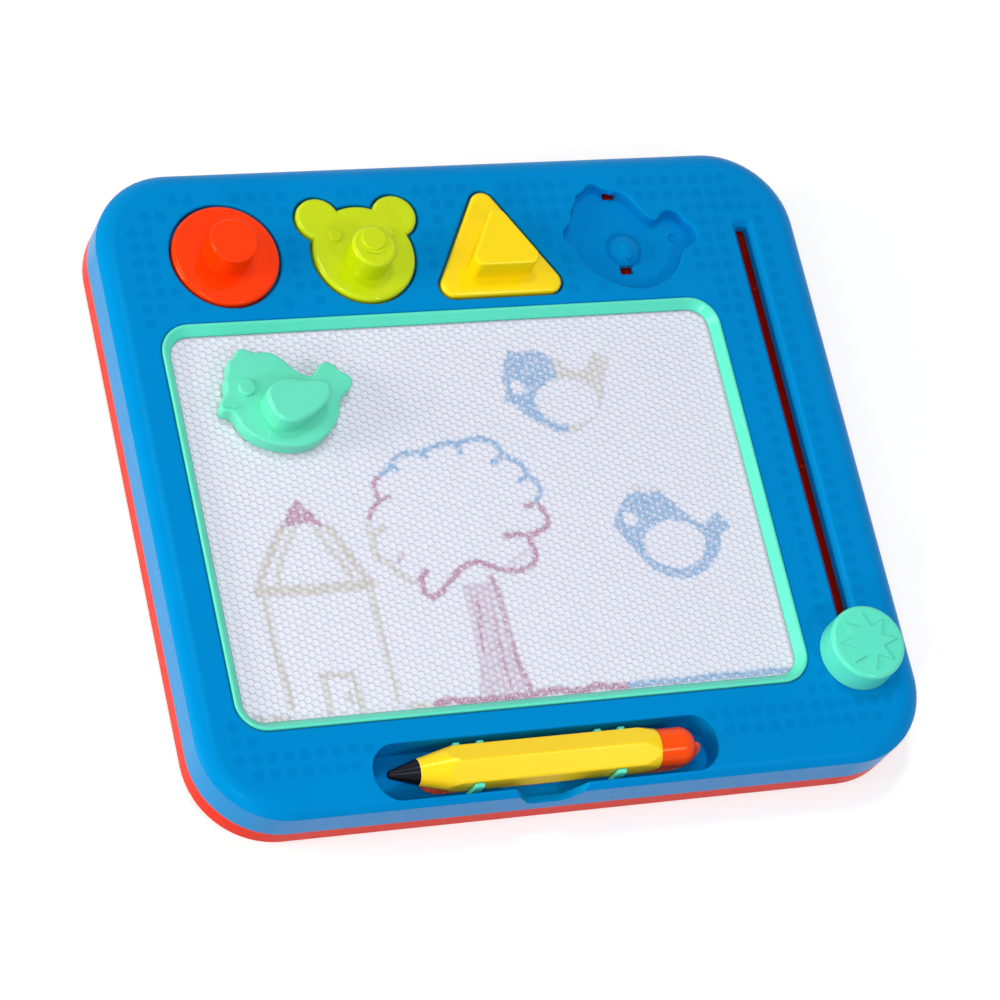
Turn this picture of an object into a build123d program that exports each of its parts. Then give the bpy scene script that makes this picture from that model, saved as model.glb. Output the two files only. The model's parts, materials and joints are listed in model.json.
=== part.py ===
# Magnetic drawing board with a pen, four stamps and a slide eraser. Sizes in millimetres, +Z up.
import os
from math import cos, hypot, pi, sin, sqrt, tan

from build123d import *

# General
OVERRUN = 2.0
RUNNING_GAP = 0.3
FIT_GAP = 0.15

# Case
LEFT_BAND = 18.5
RIGHT_BAND = 48.4
FRONT_BAND = 37.6
BACK_BAND = 71.4
CASE_CORNER = 36.0
CASE_WALL = 2.4
SEAM_HEIGHT = 10.5
CREST_HEIGHT = 26.0
CASE_HEIGHT = 29.5
SHOULDER_RADIUS = 9.8
BASE_ROUNDING = 2.2
LIP_WALL = 1.6
LIP_HEIGHT = 2.2
LIP_ROOT = 4.0

# Screen and its frame
FRAME_LENGTH = 253.1
FRAME_DEPTH = 180.8
FRAME_CORNER = 13.0
FRAME_PROUD = 0.4
FRAME_LAND = 1.2
FRAME_SLOPE = 3.3
FRAME_RIM_ROUNDING = 0.35
FLANGE_WIDTH = 2.2
FLANGE_THICKNESS = 2.0
SCREEN_DROP = 3.8
SCREEN_SEAT = 3.0
FILM_THICKNESS = 0.5
HONEYCOMB_THICKNESS = 2.0
STAKE_RADIUS = 1.3
STAKE_HEAD_RADIUS = 2.3
STAKE_HEAD_HEIGHT = 1.0
STAKE_TAB_RADIUS = 3.5
STAKE_REACH = 4.0
STAKE_TOP_SHARES = (-0.455, -0.24, -0.044, 0.27, 0.47)
STAKE_BASE_SHARES = (-0.455, -0.15, 0.15, 0.455)
STAKE_SIDE_SHARES = (-0.3, 0.25)
OPENING_BEVEL = 0.7

# Stamps
STAMP_WALL = 2.0
STAMP_RIM = 1.2
STAMP_HEIGHT = 7.0
STAMP_ROUNDING = 1.8
STAMP_DRAFT = 0.3
MAGNET_THICKNESS = 1.5
RECESS_DEPTH = 6.0
RECESS_GAP = 1.1
RECESS_WALL = 1.8
RECESS_FLOOR = 1.8
RIM_ROUNDING = 0.8
DOME_RADIUS = 8.2
DOME_HEIGHT = 6.0
BELLY_RADIUS = 9.4
PRESS_HEIGHT = 13.0
PRESS_ROUNDING = 1.0
CIRCLE_SHARE = -0.3298
CIRCLE_INSET = 40.4
CIRCLE_RADIUS = 23.3
CIRCLE_KNOB_RADIUS = 10.6
BEAR_SHARE = -0.1384
BEAR_INSET = 42.6
BEAR_HEAD_RADIUS = 22.6
BEAR_EAR_RADIUS = 9.9
BEAR_EAR_X = 17.2
BEAR_EAR_Y = 17.3
BEAR_EYE_RADIUS = 2.9
BEAR_EYE_HEIGHT = 1.2
BEAR_EYE_ROUNDING = 0.6
BEAR_EYE_X = 11.75
BEAR_EYE_Y = 8.45
BEAR_SNOUT_RADIUS = 10.1
BEAR_SNOUT_ROUNDING = 1.8
BEAR_SNOUT_DROP = 3.25
BEAR_NOSE_RADIUS = 5.4
BEAR_NOSE_HEIGHT = 0.8
BEAR_NOSE_ROUNDING = 0.4
BEAR_NOSE_Y = 3.0
BEAR_SMILE_RADIUS = 7.4
BEAR_SMILE_WIDTH = 0.8
BEAR_SMILE_DEPTH = 0.4
BEAR_SMILE_ANGLE = 70.0
TRIANGLE_SHARE = 0.0456
TRIANGLE_INSET = 46.9
TRIANGLE_INRADIUS = 18.3
TRIANGLE_CORNER = 5.5
TRIANGLE_KNOB_INRADIUS = 10.2
TRIANGLE_KNOB_CORNER = 4.0
TRIANGLE_KNOB_HEIGHT = 12.0

# Bird stamp and its recess, both drawn about the dome
BIRD_SHARE = 0.2425
BIRD_INSET = 44.3
BIRD_FROM_LEFT = 46.9
BIRD_FROM_BACK = 40.7
BIRD_TURN = 10.1
BIRD_LENGTH = 59.4
BIRD_WIDTH = 47.7
BIRD_ROUNDING = 1.2
BIRD_RECESS_GAP = 1.5
BIRD_EYE_X = 13.6
BIRD_EYE_Y = 11.1
BIRD_EYE_RADIUS = 3.8
BIRD_EYE_HEIGHT = 1.3
BIRD_EYE_ROUNDING = 0.7
BIRD_BEAK_LENGTH = 6.6
BIRD_BEAK_WIDTH = 1.6
BIRD_BEAK_HEIGHT = 0.8
BIRD_BEAK_X = 23.9
BIRD_BEAK_Y = 5.0
BIRD_BEAK_TURN = -22.0
WING_HEIGHT = 10.4
WING_ROUNDING = 1.6
PIP_RADIUS = 2.1
PIP_DEPTH = 0.7
PIP_X = 25.2
PIP_Y = 5.0
WINDOW_LENGTH = 5.8
WINDOW_WIDTH = 4.0
WINDOW_SHIFT = 0.8
WALL_WINDOW_Y = 25.4
WALL_WINDOW_RISE = 2.0
DOME_WINDOW_Y = 9.4
NUB_RADIUS = 1.6
NUB_REACH = 0.7
NUB_RISE = 3.9
WALL_NUB_Y = 28.1
BIRD_SHARES = (
    (-0.463, 0.100), (-0.425, 0.196), (-0.378, 0.258), (-0.358, 0.352), (-0.312, 0.436), (-0.288, 0.505),
    (-0.232, 0.545), (-0.198, 0.588), (-0.142, 0.601), (-0.088, 0.556), (0.016, 0.521), (0.108, 0.420),
    (0.186, 0.272), (0.277, 0.214), (0.352, 0.288), (0.418, 0.300), (0.462, 0.252), (0.484, 0.196),
    (0.520, 0.156), (0.544, 0.088), (0.502, 0.005), (0.424, -0.048), (0.368, -0.168), (0.246, -0.328), (0.068, -0.412),
    (-0.132, -0.364), (-0.280, -0.252), (-0.372, -0.068), (-0.408, 0.046))
WING_SHARES = (
    (-0.158, 0.100), (-0.070, 0.150), (0.036, 0.150), (0.118, 0.108), (0.226, 0.078), (0.288, 0.028),
    (0.282, -0.062), (0.196, -0.166), (0.060, -0.236), (-0.072, -0.250), (-0.160, -0.180), (-0.190, -0.040))

# Slide eraser
KNOB_FROM_RIGHT = 25.4
KNOB_FROM_FRONT = 47.45
SLOT_FROM_BACK = 41.35
KNOB_RADIUS = 17.0
KNOB_TOP_RADIUS = 16.6
KNOB_HEIGHT = 12.8
KNOB_ROUNDING = 1.8
KNOB_WALL = 2.0
KNOB_BOSS_WALL = 2.0
STAR_TIP_RADIUS = 13.2
STAR_ROOT_RADIUS = 7.0
STAR_HEIGHT = 0.5
STAR_POINTS = 8
SLOT_WIDTH = 5.7
SLOT_WALL = 1.8
SLOT_DEPTH = 6.8
SLOT_CORNER = 1.5
FUNNEL_WIDTH = 2.15
FUNNEL_DEPTH = 2.7
STEM_WIDTH = 5.0
STEM_DEPTH = 8.0
STEM_HEIGHT = 38.0
STEM_CORNER = 0.8
PAD_WIDTH = 12.0
PAD_DEPTH = 12.0
BAR_DEPTH = 10.0
BAR_THICKNESS = 4.4
BAR_LEVEL = 16.0
BAR_BEFORE_FRAME = 1.7
BAR_CORNER = 1.5
ARM_WIDTH = 18.0
STRIP_SHORTER = 9.1
STRIP_DEPTH = 8.0
STRIP_THICKNESS = 1.0
RAIL_FROM_SIDE = 13.0
RAIL_WIDTH = 3.0
RAIL_FROM_FRONT = 25.9
RAIL_FROM_BACK = 41.9
FORK_WALL = 2.2
FORK_DEPTH = 6.0
KNOB_SCREW_RADIUS = 1.4
KNOB_SCREW_HEAD_RADIUS = 2.6
KNOB_SCREW_HEAD = 1.8

# Pen
PEN_X = -15.8
PEN_FROM_FRONT = 15.3
PEN_Z = 25.6
PEN_LENGTH = 134.4
PEN_ACROSS_FLATS = 16.8
PEN_EDGE = 1.1
PEN_NOSE_SHARE = 0.093
PEN_NOSE_RADIUS = 5.4
PEN_CONE_SHARE = 0.219
PEN_TAPER_SHARE = 0.81
PEN_END_SHARE = 0.873
PEN_END_RADIUS = 8.3
PEN_BORE_RADIUS = 6.0
PEN_BORE_SHARE = 0.182
TIP_POINT_RADIUS = 1.5
TIP_ROUNDING = 1.2
TIP_SHANK_RADIUS = 3.6
TIP_SHANK_LENGTH = 10.5
TIP_MAGNET_RADIUS = 2.0
TIP_MAGNET_LENGTH = 10.0
TIP_MAGNET_DEPTH = 7.5
CAP_RADIUS = 8.0
CAP_DOME_LENGTH = 7.4
CAP_LAND_RADIUS = 2.6
CAP_WALL = 1.6
CAP_PLUG_LENGTH = 8.0

# Pen tray
TRAY_BEFORE_TIP = 7.0
TRAY_BEYOND_CAP = 10.1
TRAY_FROM_FRONT = 3.1
TRAY_DEPTH = 24.0
TRAY_CORNER = 11.0
TRAY_FLOOR = 15.0
TRAY_WALL = 2.0
NOTCH_SHIFT = 1.1
NOTCH_TOP = 39.6
NOTCH_BASE = 16.0
NOTCH_DEPTH = 12.4
NOTCH_ROUNDING = 6.0

# Pen clips
CLIP_LEFT_SHARE = -0.2284
CLIP_RIGHT_SHARE = 0.2359
CLIP_LENGTH = 16.0
CLIP_BASE = 2.0
PRONG_THICKNESS = 1.8
PRONG_TOP = 30.6
PRONG_WIDTH = 5.3
PRONG_TOP_WIDTH = 3.6
PRONG_ROUNDING = 0.7
BACK_PRONG_WIDTH = 3.6
BACK_PRONG_SPREAD = 5.2
BACK_PRONG_TOP = 27.7
SADDLE_WIDTH = 6.0
CLIP_EDGE = 1.2
CLIP_RIB = 2.0
CLIP_RIB_SPREAD = 5.0

# Tether cord
CORD_DIAMETER = 3.0
CORD_GAP = 0.1
CORD_ROUTE = (
    (51.4, -129.6, 25.6), (56.5, -129.6, 25.6), (57.3, -131.5, 20.6), (54.4, -134.5, 16.6),
    (47.0, -135.1, 16.6), (34.5, -135.3, 16.6), (11.0, -134.8, 16.6), (-16.0, -135.3, 16.6),
    (-38.0, -134.9, 16.6), (-53.0, -135.3, 16.6), (-63.7, -135.2, 16.6), (-67.5, -129.5, 16.6),
    (-63.9, -123.7, 16.6), (-53.0, -123.5, 16.6), (-36.0, -123.9, 16.6), (-20.0, -123.5, 16.6),
    (-10.5, -123.8, 16.6), (-3.0, -123.6, 16.6), (-3.0, -123.6, 9.9))
CORD_BEND_SHARE = 0.45
KNOT_RADIUS = 3.2
KNOT_HEIGHT = 4.6
KNOT_ROUNDING = 1.4
ANCHOR_WALL = 1.7
ANCHOR_BORE = 2.5

# Case screws
SCREW_PLACES_SHARES = (
    (0.4375, 0.435), (-0.4375, 0.435), (0.4375, -0.435), (-0.4375, -0.435), (-0.2375, 0.452),
    (-0.028, 0.456), (0.137, 0.452), (0.31, -0.444), (-0.36, -0.444))
BOSS_RADIUS = 4.0
BOSS_SEAM = 14.0
BOSS_FOOT_RADIUS = 5.0
SCREW_RADIUS = 1.4
SCREW_HEAD_RADIUS = 2.8
SCREW_HEAD = 2.0
SCREW_SEAT = 7.0
SCREW_LENGTH = 16.0
SCREW_SOCKET_DEPTH = 1.2
SCREW_SOCKET_RADIUS = 1.0

# Stiffening ribs of the back
RIB_WIDTH = 1.6
RIB_HEIGHT = 4.0
RIB_LONG_SHARES = (-0.3, 0.0, 0.3)
RIB_CROSS_SHARES = (-0.3, -0.1, 0.1, 0.3)

# Values that follow from the ones above
CASE_LENGTH = LEFT_BAND + FRAME_LENGTH + RIGHT_BAND
CASE_DEPTH = FRONT_BAND + FRAME_DEPTH + BACK_BAND
CASE_RIGHT = CASE_LENGTH / 2
CASE_FRONT = -CASE_DEPTH / 2
CASE_BACK = CASE_DEPTH / 2
SCREEN_X = (LEFT_BAND - RIGHT_BAND) / 2
SCREEN_Y = (FRONT_BAND - BACK_BAND) / 2
CIRCLE_X = CASE_LENGTH * CIRCLE_SHARE
CIRCLE_Y = CASE_BACK - CIRCLE_INSET
BEAR_X = CASE_LENGTH * BEAR_SHARE
BEAR_Y = CASE_BACK - BEAR_INSET
TRIANGLE_X = CASE_LENGTH * TRIANGLE_SHARE
TRIANGLE_Y = CASE_BACK - TRIANGLE_INSET
BIRD_X = CASE_LENGTH * BIRD_SHARE
BIRD_Y = CASE_BACK - BIRD_INSET
BIRD_ON_SCREEN_X = SCREEN_X - FRAME_LENGTH / 2 + BIRD_FROM_LEFT
BIRD_ON_SCREEN_Y = SCREEN_Y + FRAME_DEPTH / 2 - BIRD_FROM_BACK
KNOB_X = CASE_RIGHT - KNOB_FROM_RIGHT
KNOB_Y = CASE_FRONT + KNOB_FROM_FRONT
SLIDE_TRAVEL = CASE_BACK - SLOT_FROM_BACK - KNOB_Y
BAR_Y = SCREEN_Y - FRAME_DEPTH / 2 - BAR_BEFORE_FRAME
STRIP_LENGTH = FRAME_LENGTH - STRIP_SHORTER
RAIL_X = CASE_RIGHT - RAIL_FROM_SIDE
RAIL_START = CASE_FRONT + RAIL_FROM_FRONT
RAIL_END = CASE_BACK - RAIL_FROM_BACK
PEN_Y = CASE_FRONT + PEN_FROM_FRONT
PEN_TIP_X = PEN_X - PEN_LENGTH / 2
PEN_NOSE_X = PEN_TIP_X + PEN_LENGTH * PEN_NOSE_SHARE
PEN_CONE_X = PEN_TIP_X + PEN_LENGTH * PEN_CONE_SHARE
PEN_TAPER_X = PEN_TIP_X + PEN_LENGTH * PEN_TAPER_SHARE
PEN_END_X = PEN_TIP_X + PEN_LENGTH * PEN_END_SHARE
PEN_BORE_X = PEN_TIP_X + PEN_LENGTH * PEN_BORE_SHARE
TIP_SHANK_X = PEN_NOSE_X + TIP_SHANK_LENGTH
TIP_MAGNET_X = PEN_TIP_X + TIP_MAGNET_DEPTH
CAP_END_X = PEN_TIP_X + PEN_LENGTH
CAP_SHOULDER_X = CAP_END_X - CAP_DOME_LENGTH
CLIP_LEFT_X = PEN_X + PEN_LENGTH * CLIP_LEFT_SHARE
CLIP_RIGHT_X = PEN_X + PEN_LENGTH * CLIP_RIGHT_SHARE
NOTCH_X = PEN_X + NOTCH_SHIFT
TRAY_START = PEN_TIP_X - TRAY_BEFORE_TIP
TRAY_END = CAP_END_X + TRAY_BEYOND_CAP
TRAY_FRONT = CASE_FRONT + TRAY_FROM_FRONT
COVER_UNDERSIDE = CASE_HEIGHT - CASE_WALL
FRAME_TOP = CASE_HEIGHT + FRAME_PROUD
SCREEN_LEVEL = FRAME_TOP - SCREEN_DROP
SCREEN_LENGTH = FRAME_LENGTH - 2 * (FRAME_LAND + FRAME_SLOPE - SCREEN_SEAT)
SCREEN_DEPTH = FRAME_DEPTH - 2 * (FRAME_LAND + FRAME_SLOPE - SCREEN_SEAT)
SCREEN_CORNER = FRAME_CORNER - FRAME_LAND
SCREEN_BACK = SCREEN_LEVEL - 2 * FILM_THICKNESS - HONEYCOMB_THICKNESS
RECESS_LEVEL = CASE_HEIGHT - RECESS_DEPTH
KNOB_LEVEL = CASE_HEIGHT + RUNNING_GAP
SLOT_LEVEL = CASE_HEIGHT - SLOT_DEPTH
SLOT_START = KNOB_Y - STEM_DEPTH / 2 - RUNNING_GAP
SLOT_END = KNOB_Y + SLIDE_TRAVEL + STEM_DEPTH / 2 + RUNNING_GAP
PEN_CORNER_RADIUS = PEN_ACROSS_FLATS / sqrt(3)
TRAY_LENGTH = TRAY_END - TRAY_START
TRAY_X = (TRAY_START + TRAY_END) / 2
TRAY_Y = TRAY_FRONT + TRAY_DEPTH / 2
CLIP_LEVEL = TRAY_FLOOR - TRAY_WALL - CLIP_BASE
FRONT_PRONG_Y = PEN_Y - PEN_ACROSS_FLATS / 2 - RUNNING_GAP - PRONG_THICKNESS / 2
BACK_PRONG_Y = PEN_Y + PEN_ACROSS_FLATS / 2 + RUNNING_GAP + PRONG_THICKNESS / 2
CORD_RADIUS = CORD_DIAMETER / 2
HOLE_RADIUS = CORD_RADIUS + CORD_GAP


def prism(face, low, high):
    """A flat face drawn at height zero, raised from one height to another."""
    return Pos(0, 0, low) * extrude(face, high - low)


def rounded_prism(length, depth, corner, low, high):
    return prism(RectangleRounded(length, depth, corner), low, high)


def rod(radius, low, high, x=0, y=0):
    return Pos(x, y, low) * extrude(Circle(radius), high - low)


def block(x_from, x_to, y_from, y_to, low, high):
    centre = Pos((x_from + x_to) / 2, (y_from + y_to) / 2, low)
    return centre * extrude(Rectangle(x_to - x_from, y_to - y_from), high - low)


def edges_at(shape, height):
    """The edges that lie wholly at one height."""
    return shape.edges().filter_by(Plane.XY).filter_by_position(Axis.Z, height, height)


def turned(points):
    """A solid turned about Z from plain (radius, height) points."""
    return revolve(make_face(Plane.XZ * Polyline(*points, close=True)), Axis.Z)


# Case shells

def crowned_block(inset, low, high):
    """The case's outer form, moved in by a wall, with the long rounded shoulder that meets the wall in a crest."""
    drop = CASE_HEIGHT - CREST_HEIGHT
    beyond = SHOULDER_RADIUS - sqrt(SHOULDER_RADIUS ** 2 - (SHOULDER_RADIUS - drop) ** 2)
    length = CASE_LENGTH - 2 * inset
    depth = CASE_DEPTH - 2 * inset
    corner = CASE_CORNER - inset
    crown = rounded_prism(length + 2 * beyond, depth + 2 * beyond, corner + beyond, low, high)
    crown = fillet(edges_at(crown, high), SHOULDER_RADIUS - inset)
    return crown & rounded_prism(length, depth, corner, low, high)


def screw_places():
    return [(CASE_LENGTH * x, CASE_DEPTH * y) for x, y in SCREW_PLACES_SHARES]


# Outlines of the four stamps, each about its own centre and grown by a margin

def circle_outline(grow):
    return Circle(CIRCLE_RADIUS + grow)


def bear_outline(grow):
    face = Circle(BEAR_HEAD_RADIUS + grow)
    for side in (-1, 1):
        face += Pos(side * BEAR_EAR_X, BEAR_EAR_Y) * Circle(BEAR_EAR_RADIUS + grow)
    return face


def rounded_triangle(inradius, corner):
    reach = 2 * inradius
    points = [(reach * cos(turn), reach * sin(turn)) for turn in (pi / 2, pi * 7 / 6, pi * 11 / 6)]
    face = make_face(Polyline(*points, close=True))
    return fillet(face.vertices(), corner)


def triangle_outline(grow):
    return rounded_triangle(TRIANGLE_INRADIUS + grow, TRIANGLE_CORNER + grow)


def smooth_outline(shares, grow):
    """A closed curve through points given as shares of the bird, each moved out along its own normal."""
    points = [(x * BIRD_LENGTH, y * BIRD_WIDTH) for x, y in shares]
    moved = []
    for i, (x, y) in enumerate(points):
        before = points[i - 1]
        after = points[(i + 1) % len(points)]
        along = hypot(after[0] - before[0], after[1] - before[1])
        out_x = (before[1] - after[1]) / along
        out_y = (after[0] - before[0]) / along
        moved.append((x + grow * out_x, y + grow * out_y))
    curve = Spline(*moved, periodic=True).edge()
    return make_face([curve.trim(0, 1 / 2), curve.trim(1 / 2, 1)])


def bird_outline(grow):
    return smooth_outline(BIRD_SHARES, grow)


def recesses():
    """Each recess's outline and gap, its centre, and how far its dome lies off that centre."""
    return (
        (circle_outline, RECESS_GAP, CIRCLE_X, CIRCLE_Y, 0),
        (bear_outline, RECESS_GAP, BEAR_X, BEAR_Y, -BEAR_SNOUT_DROP),
        (triangle_outline, RECESS_GAP, TRIANGLE_X, TRIANGLE_Y, 0),
        (bird_outline, BIRD_RECESS_GAP, BIRD_X, BIRD_Y, 0))


def dome():
    """The low dome on a recess's floor, a slice of a ball."""
    ball = (DOME_RADIUS ** 2 + DOME_HEIGHT ** 2) / (2 * DOME_HEIGHT)
    whole = Pos(0, 0, RECESS_LEVEL + DOME_HEIGHT - ball) * Sphere(ball)
    root = RECESS_LEVEL - RECESS_FLOOR / 2
    return whole & rod(DOME_RADIUS + OVERRUN, root, RECESS_LEVEL + DOME_HEIGHT + OVERRUN)


# Front cover

def recess_pots(cover):
    """The recesses, each a pot under the top with a rounded rim."""
    for outline, gap, x, y, _ in recesses():
        pot = prism(outline(gap + RECESS_WALL), RECESS_LEVEL - RECESS_FLOOR, COVER_UNDERSIDE + CASE_WALL / 2)
        cover += Pos(x, y) * pot
    for outline, gap, x, y, _ in recesses():
        before = edges_at(cover, CASE_HEIGHT)
        cover -= Pos(x, y) * prism(outline(gap), RECESS_LEVEL, CASE_HEIGHT + OVERRUN)
        rim = [edge for edge in edges_at(cover, CASE_HEIGHT) if not near_any(edge, before)]
        cover = fillet(rim, RIM_ROUNDING)
    return cover


def near_any(edge, others):
    """Whether an edge's middle lies on the middle of one of the others."""
    return any((edge.center() - other.center()).length < FIT_GAP for other in others)


def recess_domes(cover):
    for _, _, x, y, shift in recesses():
        cover += Pos(x, y + shift) * dome()
    return cover


def bird_recess_details(cover):
    """The two windows with their snap nubs, and the shallow round dimple, of the empty recess."""
    half = WINDOW_LENGTH / 2
    low = RECESS_LEVEL - RECESS_FLOOR - OVERRUN
    windows = (
        block(-half, half, WALL_WINDOW_Y, WALL_WINDOW_Y + WINDOW_WIDTH + OVERRUN, low, RECESS_LEVEL + WALL_WINDOW_RISE),
        block(-half, half, -DOME_WINDOW_Y - WINDOW_WIDTH / 2, -DOME_WINDOW_Y + WINDOW_WIDTH / 2, low,
              RECESS_LEVEL + RECESS_FLOOR / 2))
    for window in windows:
        cover -= Pos(BIRD_X - WINDOW_SHIFT, BIRD_Y) * window
    nub = Sphere(NUB_RADIUS)
    inward = NUB_RADIUS - NUB_REACH
    keep = block(-NUB_RADIUS, NUB_RADIUS, 0, NUB_RADIUS, -NUB_RADIUS, NUB_RADIUS)
    height = RECESS_LEVEL + NUB_RISE
    wall_nub = Pos(BIRD_X - WINDOW_SHIFT, BIRD_Y + WALL_NUB_Y - OVERRUN / 2, height)
    cover += wall_nub * (nub & Pos(0, -inward) * keep)
    ball = (DOME_RADIUS ** 2 + DOME_HEIGHT ** 2) / (2 * DOME_HEIGHT)
    face = sqrt(ball ** 2 - (ball - DOME_HEIGHT + NUB_RISE) ** 2)
    cover += Pos(BIRD_X, BIRD_Y - face + inward, height) * nub
    cover -= rod(PIP_RADIUS, RECESS_LEVEL - PIP_DEPTH, RECESS_LEVEL + OVERRUN, BIRD_X + PIP_X, BIRD_Y + PIP_Y)
    return cover


def slot(cover):
    """The slider's slot: a collar below the top, a straight slot and a wide rounded funnel."""
    middle = Pos(KNOB_X, (SLOT_START + SLOT_END) / 2)
    length = SLOT_END - SLOT_START
    cover += middle * rounded_prism(SLOT_WIDTH + 2 * SLOT_WALL, length + 2 * SLOT_WALL, SLOT_CORNER + SLOT_WALL,
                                    SLOT_LEVEL, COVER_UNDERSIDE + CASE_WALL / 2)
    cover -= middle * rounded_prism(SLOT_WIDTH, length, SLOT_CORNER, SLOT_LEVEL - OVERRUN, CASE_HEIGHT + OVERRUN)
    wide = RectangleRounded(SLOT_WIDTH + 2 * FUNNEL_WIDTH, length + 2 * FUNNEL_WIDTH, SLOT_CORNER + FUNNEL_WIDTH / 2)
    narrow = RectangleRounded(SLOT_WIDTH, length, SLOT_CORNER)
    funnel = loft([Pos(0, 0, CASE_HEIGHT - FUNNEL_DEPTH) * narrow, Pos(0, 0, CASE_HEIGHT) * wide])
    return cover - middle * funnel


def stake_places():
    """Where the frame is staked to the cover: outside its top, base and two sides."""
    top = FRAME_DEPTH / 2 + STAKE_REACH
    side = FRAME_LENGTH / 2 + STAKE_REACH
    places = [(FRAME_LENGTH * share, top) for share in STAKE_TOP_SHARES]
    places += [(FRAME_LENGTH * share, -top) for share in STAKE_BASE_SHARES]
    for share in STAKE_SIDE_SHARES:
        places += [(-side, FRAME_DEPTH * share), (side, FRAME_DEPTH * share)]
    return places


def screen_opening(cover):
    centre = Pos(SCREEN_X, SCREEN_Y)
    length = FRAME_LENGTH + 2 * RUNNING_GAP
    depth = FRAME_DEPTH + 2 * RUNNING_GAP
    corner = FRAME_CORNER + RUNNING_GAP
    cover -= centre * rounded_prism(length, depth, corner, COVER_UNDERSIDE - OVERRUN, CASE_HEIGHT + OVERRUN)
    wide = RectangleRounded(length + 2 * OPENING_BEVEL, depth + 2 * OPENING_BEVEL, corner + OPENING_BEVEL)
    narrow = RectangleRounded(length, depth, corner)
    bevel = loft([Pos(0, 0, CASE_HEIGHT - OPENING_BEVEL) * narrow, Pos(0, 0, CASE_HEIGHT) * wide])
    cover -= centre * bevel
    seat = COVER_UNDERSIDE - FLANGE_THICKNESS
    for x, y in stake_places():
        place = Pos(SCREEN_X + x, SCREEN_Y + y)
        cover += place * rod(STAKE_RADIUS, seat, COVER_UNDERSIDE + CASE_WALL / 2)
        cover += place * rod(STAKE_HEAD_RADIUS, seat - STAKE_HEAD_HEIGHT, seat)
    return cover


def clip_slots():
    """The cuts in the tray's floor that the prongs and saddles of both clips come up through."""
    low = TRAY_FLOOR - TRAY_WALL - OVERRUN
    high = TRAY_FLOOR + OVERRUN / 2
    reach = PRONG_THICKNESS / 2 + RUNNING_GAP
    cuts = []
    for x in (CLIP_LEFT_X, CLIP_RIGHT_X):
        half = PRONG_WIDTH / 2 + RUNNING_GAP
        cuts.append(block(x - half, x + half, FRONT_PRONG_Y - reach, FRONT_PRONG_Y + reach, low, high))
        half = BACK_PRONG_WIDTH / 2 + RUNNING_GAP
        for side in (-1, 1):
            place = x + side * BACK_PRONG_SPREAD
            cuts.append(block(place - half, place + half, BACK_PRONG_Y - reach, BACK_PRONG_Y + reach, low, high))
        half = SADDLE_WIDTH / 2 + RUNNING_GAP
        cuts.append(block(x - half, x + half, PEN_Y - half, PEN_Y + half, low, high))
    return cuts


def finger_notch():
    """The dip in the tray's front wall, with S-shaped sides, for a thumb under the pen."""
    base = CASE_HEIGHT - NOTCH_DEPTH
    far = NOTCH_TOP / 2 + NOTCH_ROUNDING
    line = FilletPolyline((-far, CASE_HEIGHT), (-NOTCH_TOP / 2 + NOTCH_ROUNDING / 2, CASE_HEIGHT),
                          (-NOTCH_BASE / 2, base), (NOTCH_BASE / 2, base),
                          (NOTCH_TOP / 2 - NOTCH_ROUNDING / 2, CASE_HEIGHT), (far, CASE_HEIGHT),
                          radius=NOTCH_ROUNDING)
    top = Polyline((far, CASE_HEIGHT), (far, CASE_HEIGHT + OVERRUN), (-far, CASE_HEIGHT + OVERRUN), (-far, CASE_HEIGHT))
    face = make_face(Plane.XZ * (line + top))
    reach = TRAY_FRONT + CASE_DEPTH / 2 + OVERRUN
    cutter = extrude(face, reach + OVERRUN)
    return Pos(NOTCH_X, TRAY_FRONT + OVERRUN, 0) * cutter


def pen_tray(cover, outer):
    """The tray with its walls and floor, the cuts for the clips, the cord's anchor and the finger notch."""
    centre = Pos(TRAY_X, TRAY_Y)
    pot = rounded_prism(TRAY_LENGTH + 2 * TRAY_WALL, TRAY_DEPTH + 2 * TRAY_WALL, TRAY_CORNER + TRAY_WALL,
                        TRAY_FLOOR - TRAY_WALL, COVER_UNDERSIDE + CASE_WALL / 2)
    cover += (centre * pot) & outer
    cover -= centre * rounded_prism(TRAY_LENGTH, TRAY_DEPTH, TRAY_CORNER, TRAY_FLOOR, CASE_HEIGHT + OVERRUN)
    x, y, low = CORD_ROUTE[-1]
    cover += rod(ANCHOR_BORE + ANCHOR_WALL, low, TRAY_FLOOR - TRAY_WALL / 2, x, y)
    cover -= rod(ANCHOR_BORE, low - OVERRUN, TRAY_FLOOR + OVERRUN, x, y)
    for cut in clip_slots():
        cover -= cut
    return cover - finger_notch()


def front_cover():
    outer = crowned_block(0, SEAM_HEIGHT, CASE_HEIGHT)
    cover = outer - crowned_block(CASE_WALL, SEAM_HEIGHT - OVERRUN, COVER_UNDERSIDE)
    for x, y in screw_places():
        cover += rod(BOSS_RADIUS, BOSS_SEAM, COVER_UNDERSIDE + CASE_WALL / 2, x, y) & outer
    cover = recess_pots(cover)
    cover = recess_domes(cover)
    cover = slot(cover)
    cover = screen_opening(cover)
    cover = pen_tray(cover, outer)
    cover = bird_recess_details(cover)
    depth = SCREW_SEAT + SCREW_LENGTH + FIT_GAP
    for x, y in screw_places():
        cover -= rod(SCREW_RADIUS + FIT_GAP, BOSS_SEAM - OVERRUN, depth, x, y)
    return cover


# Back cover

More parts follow.
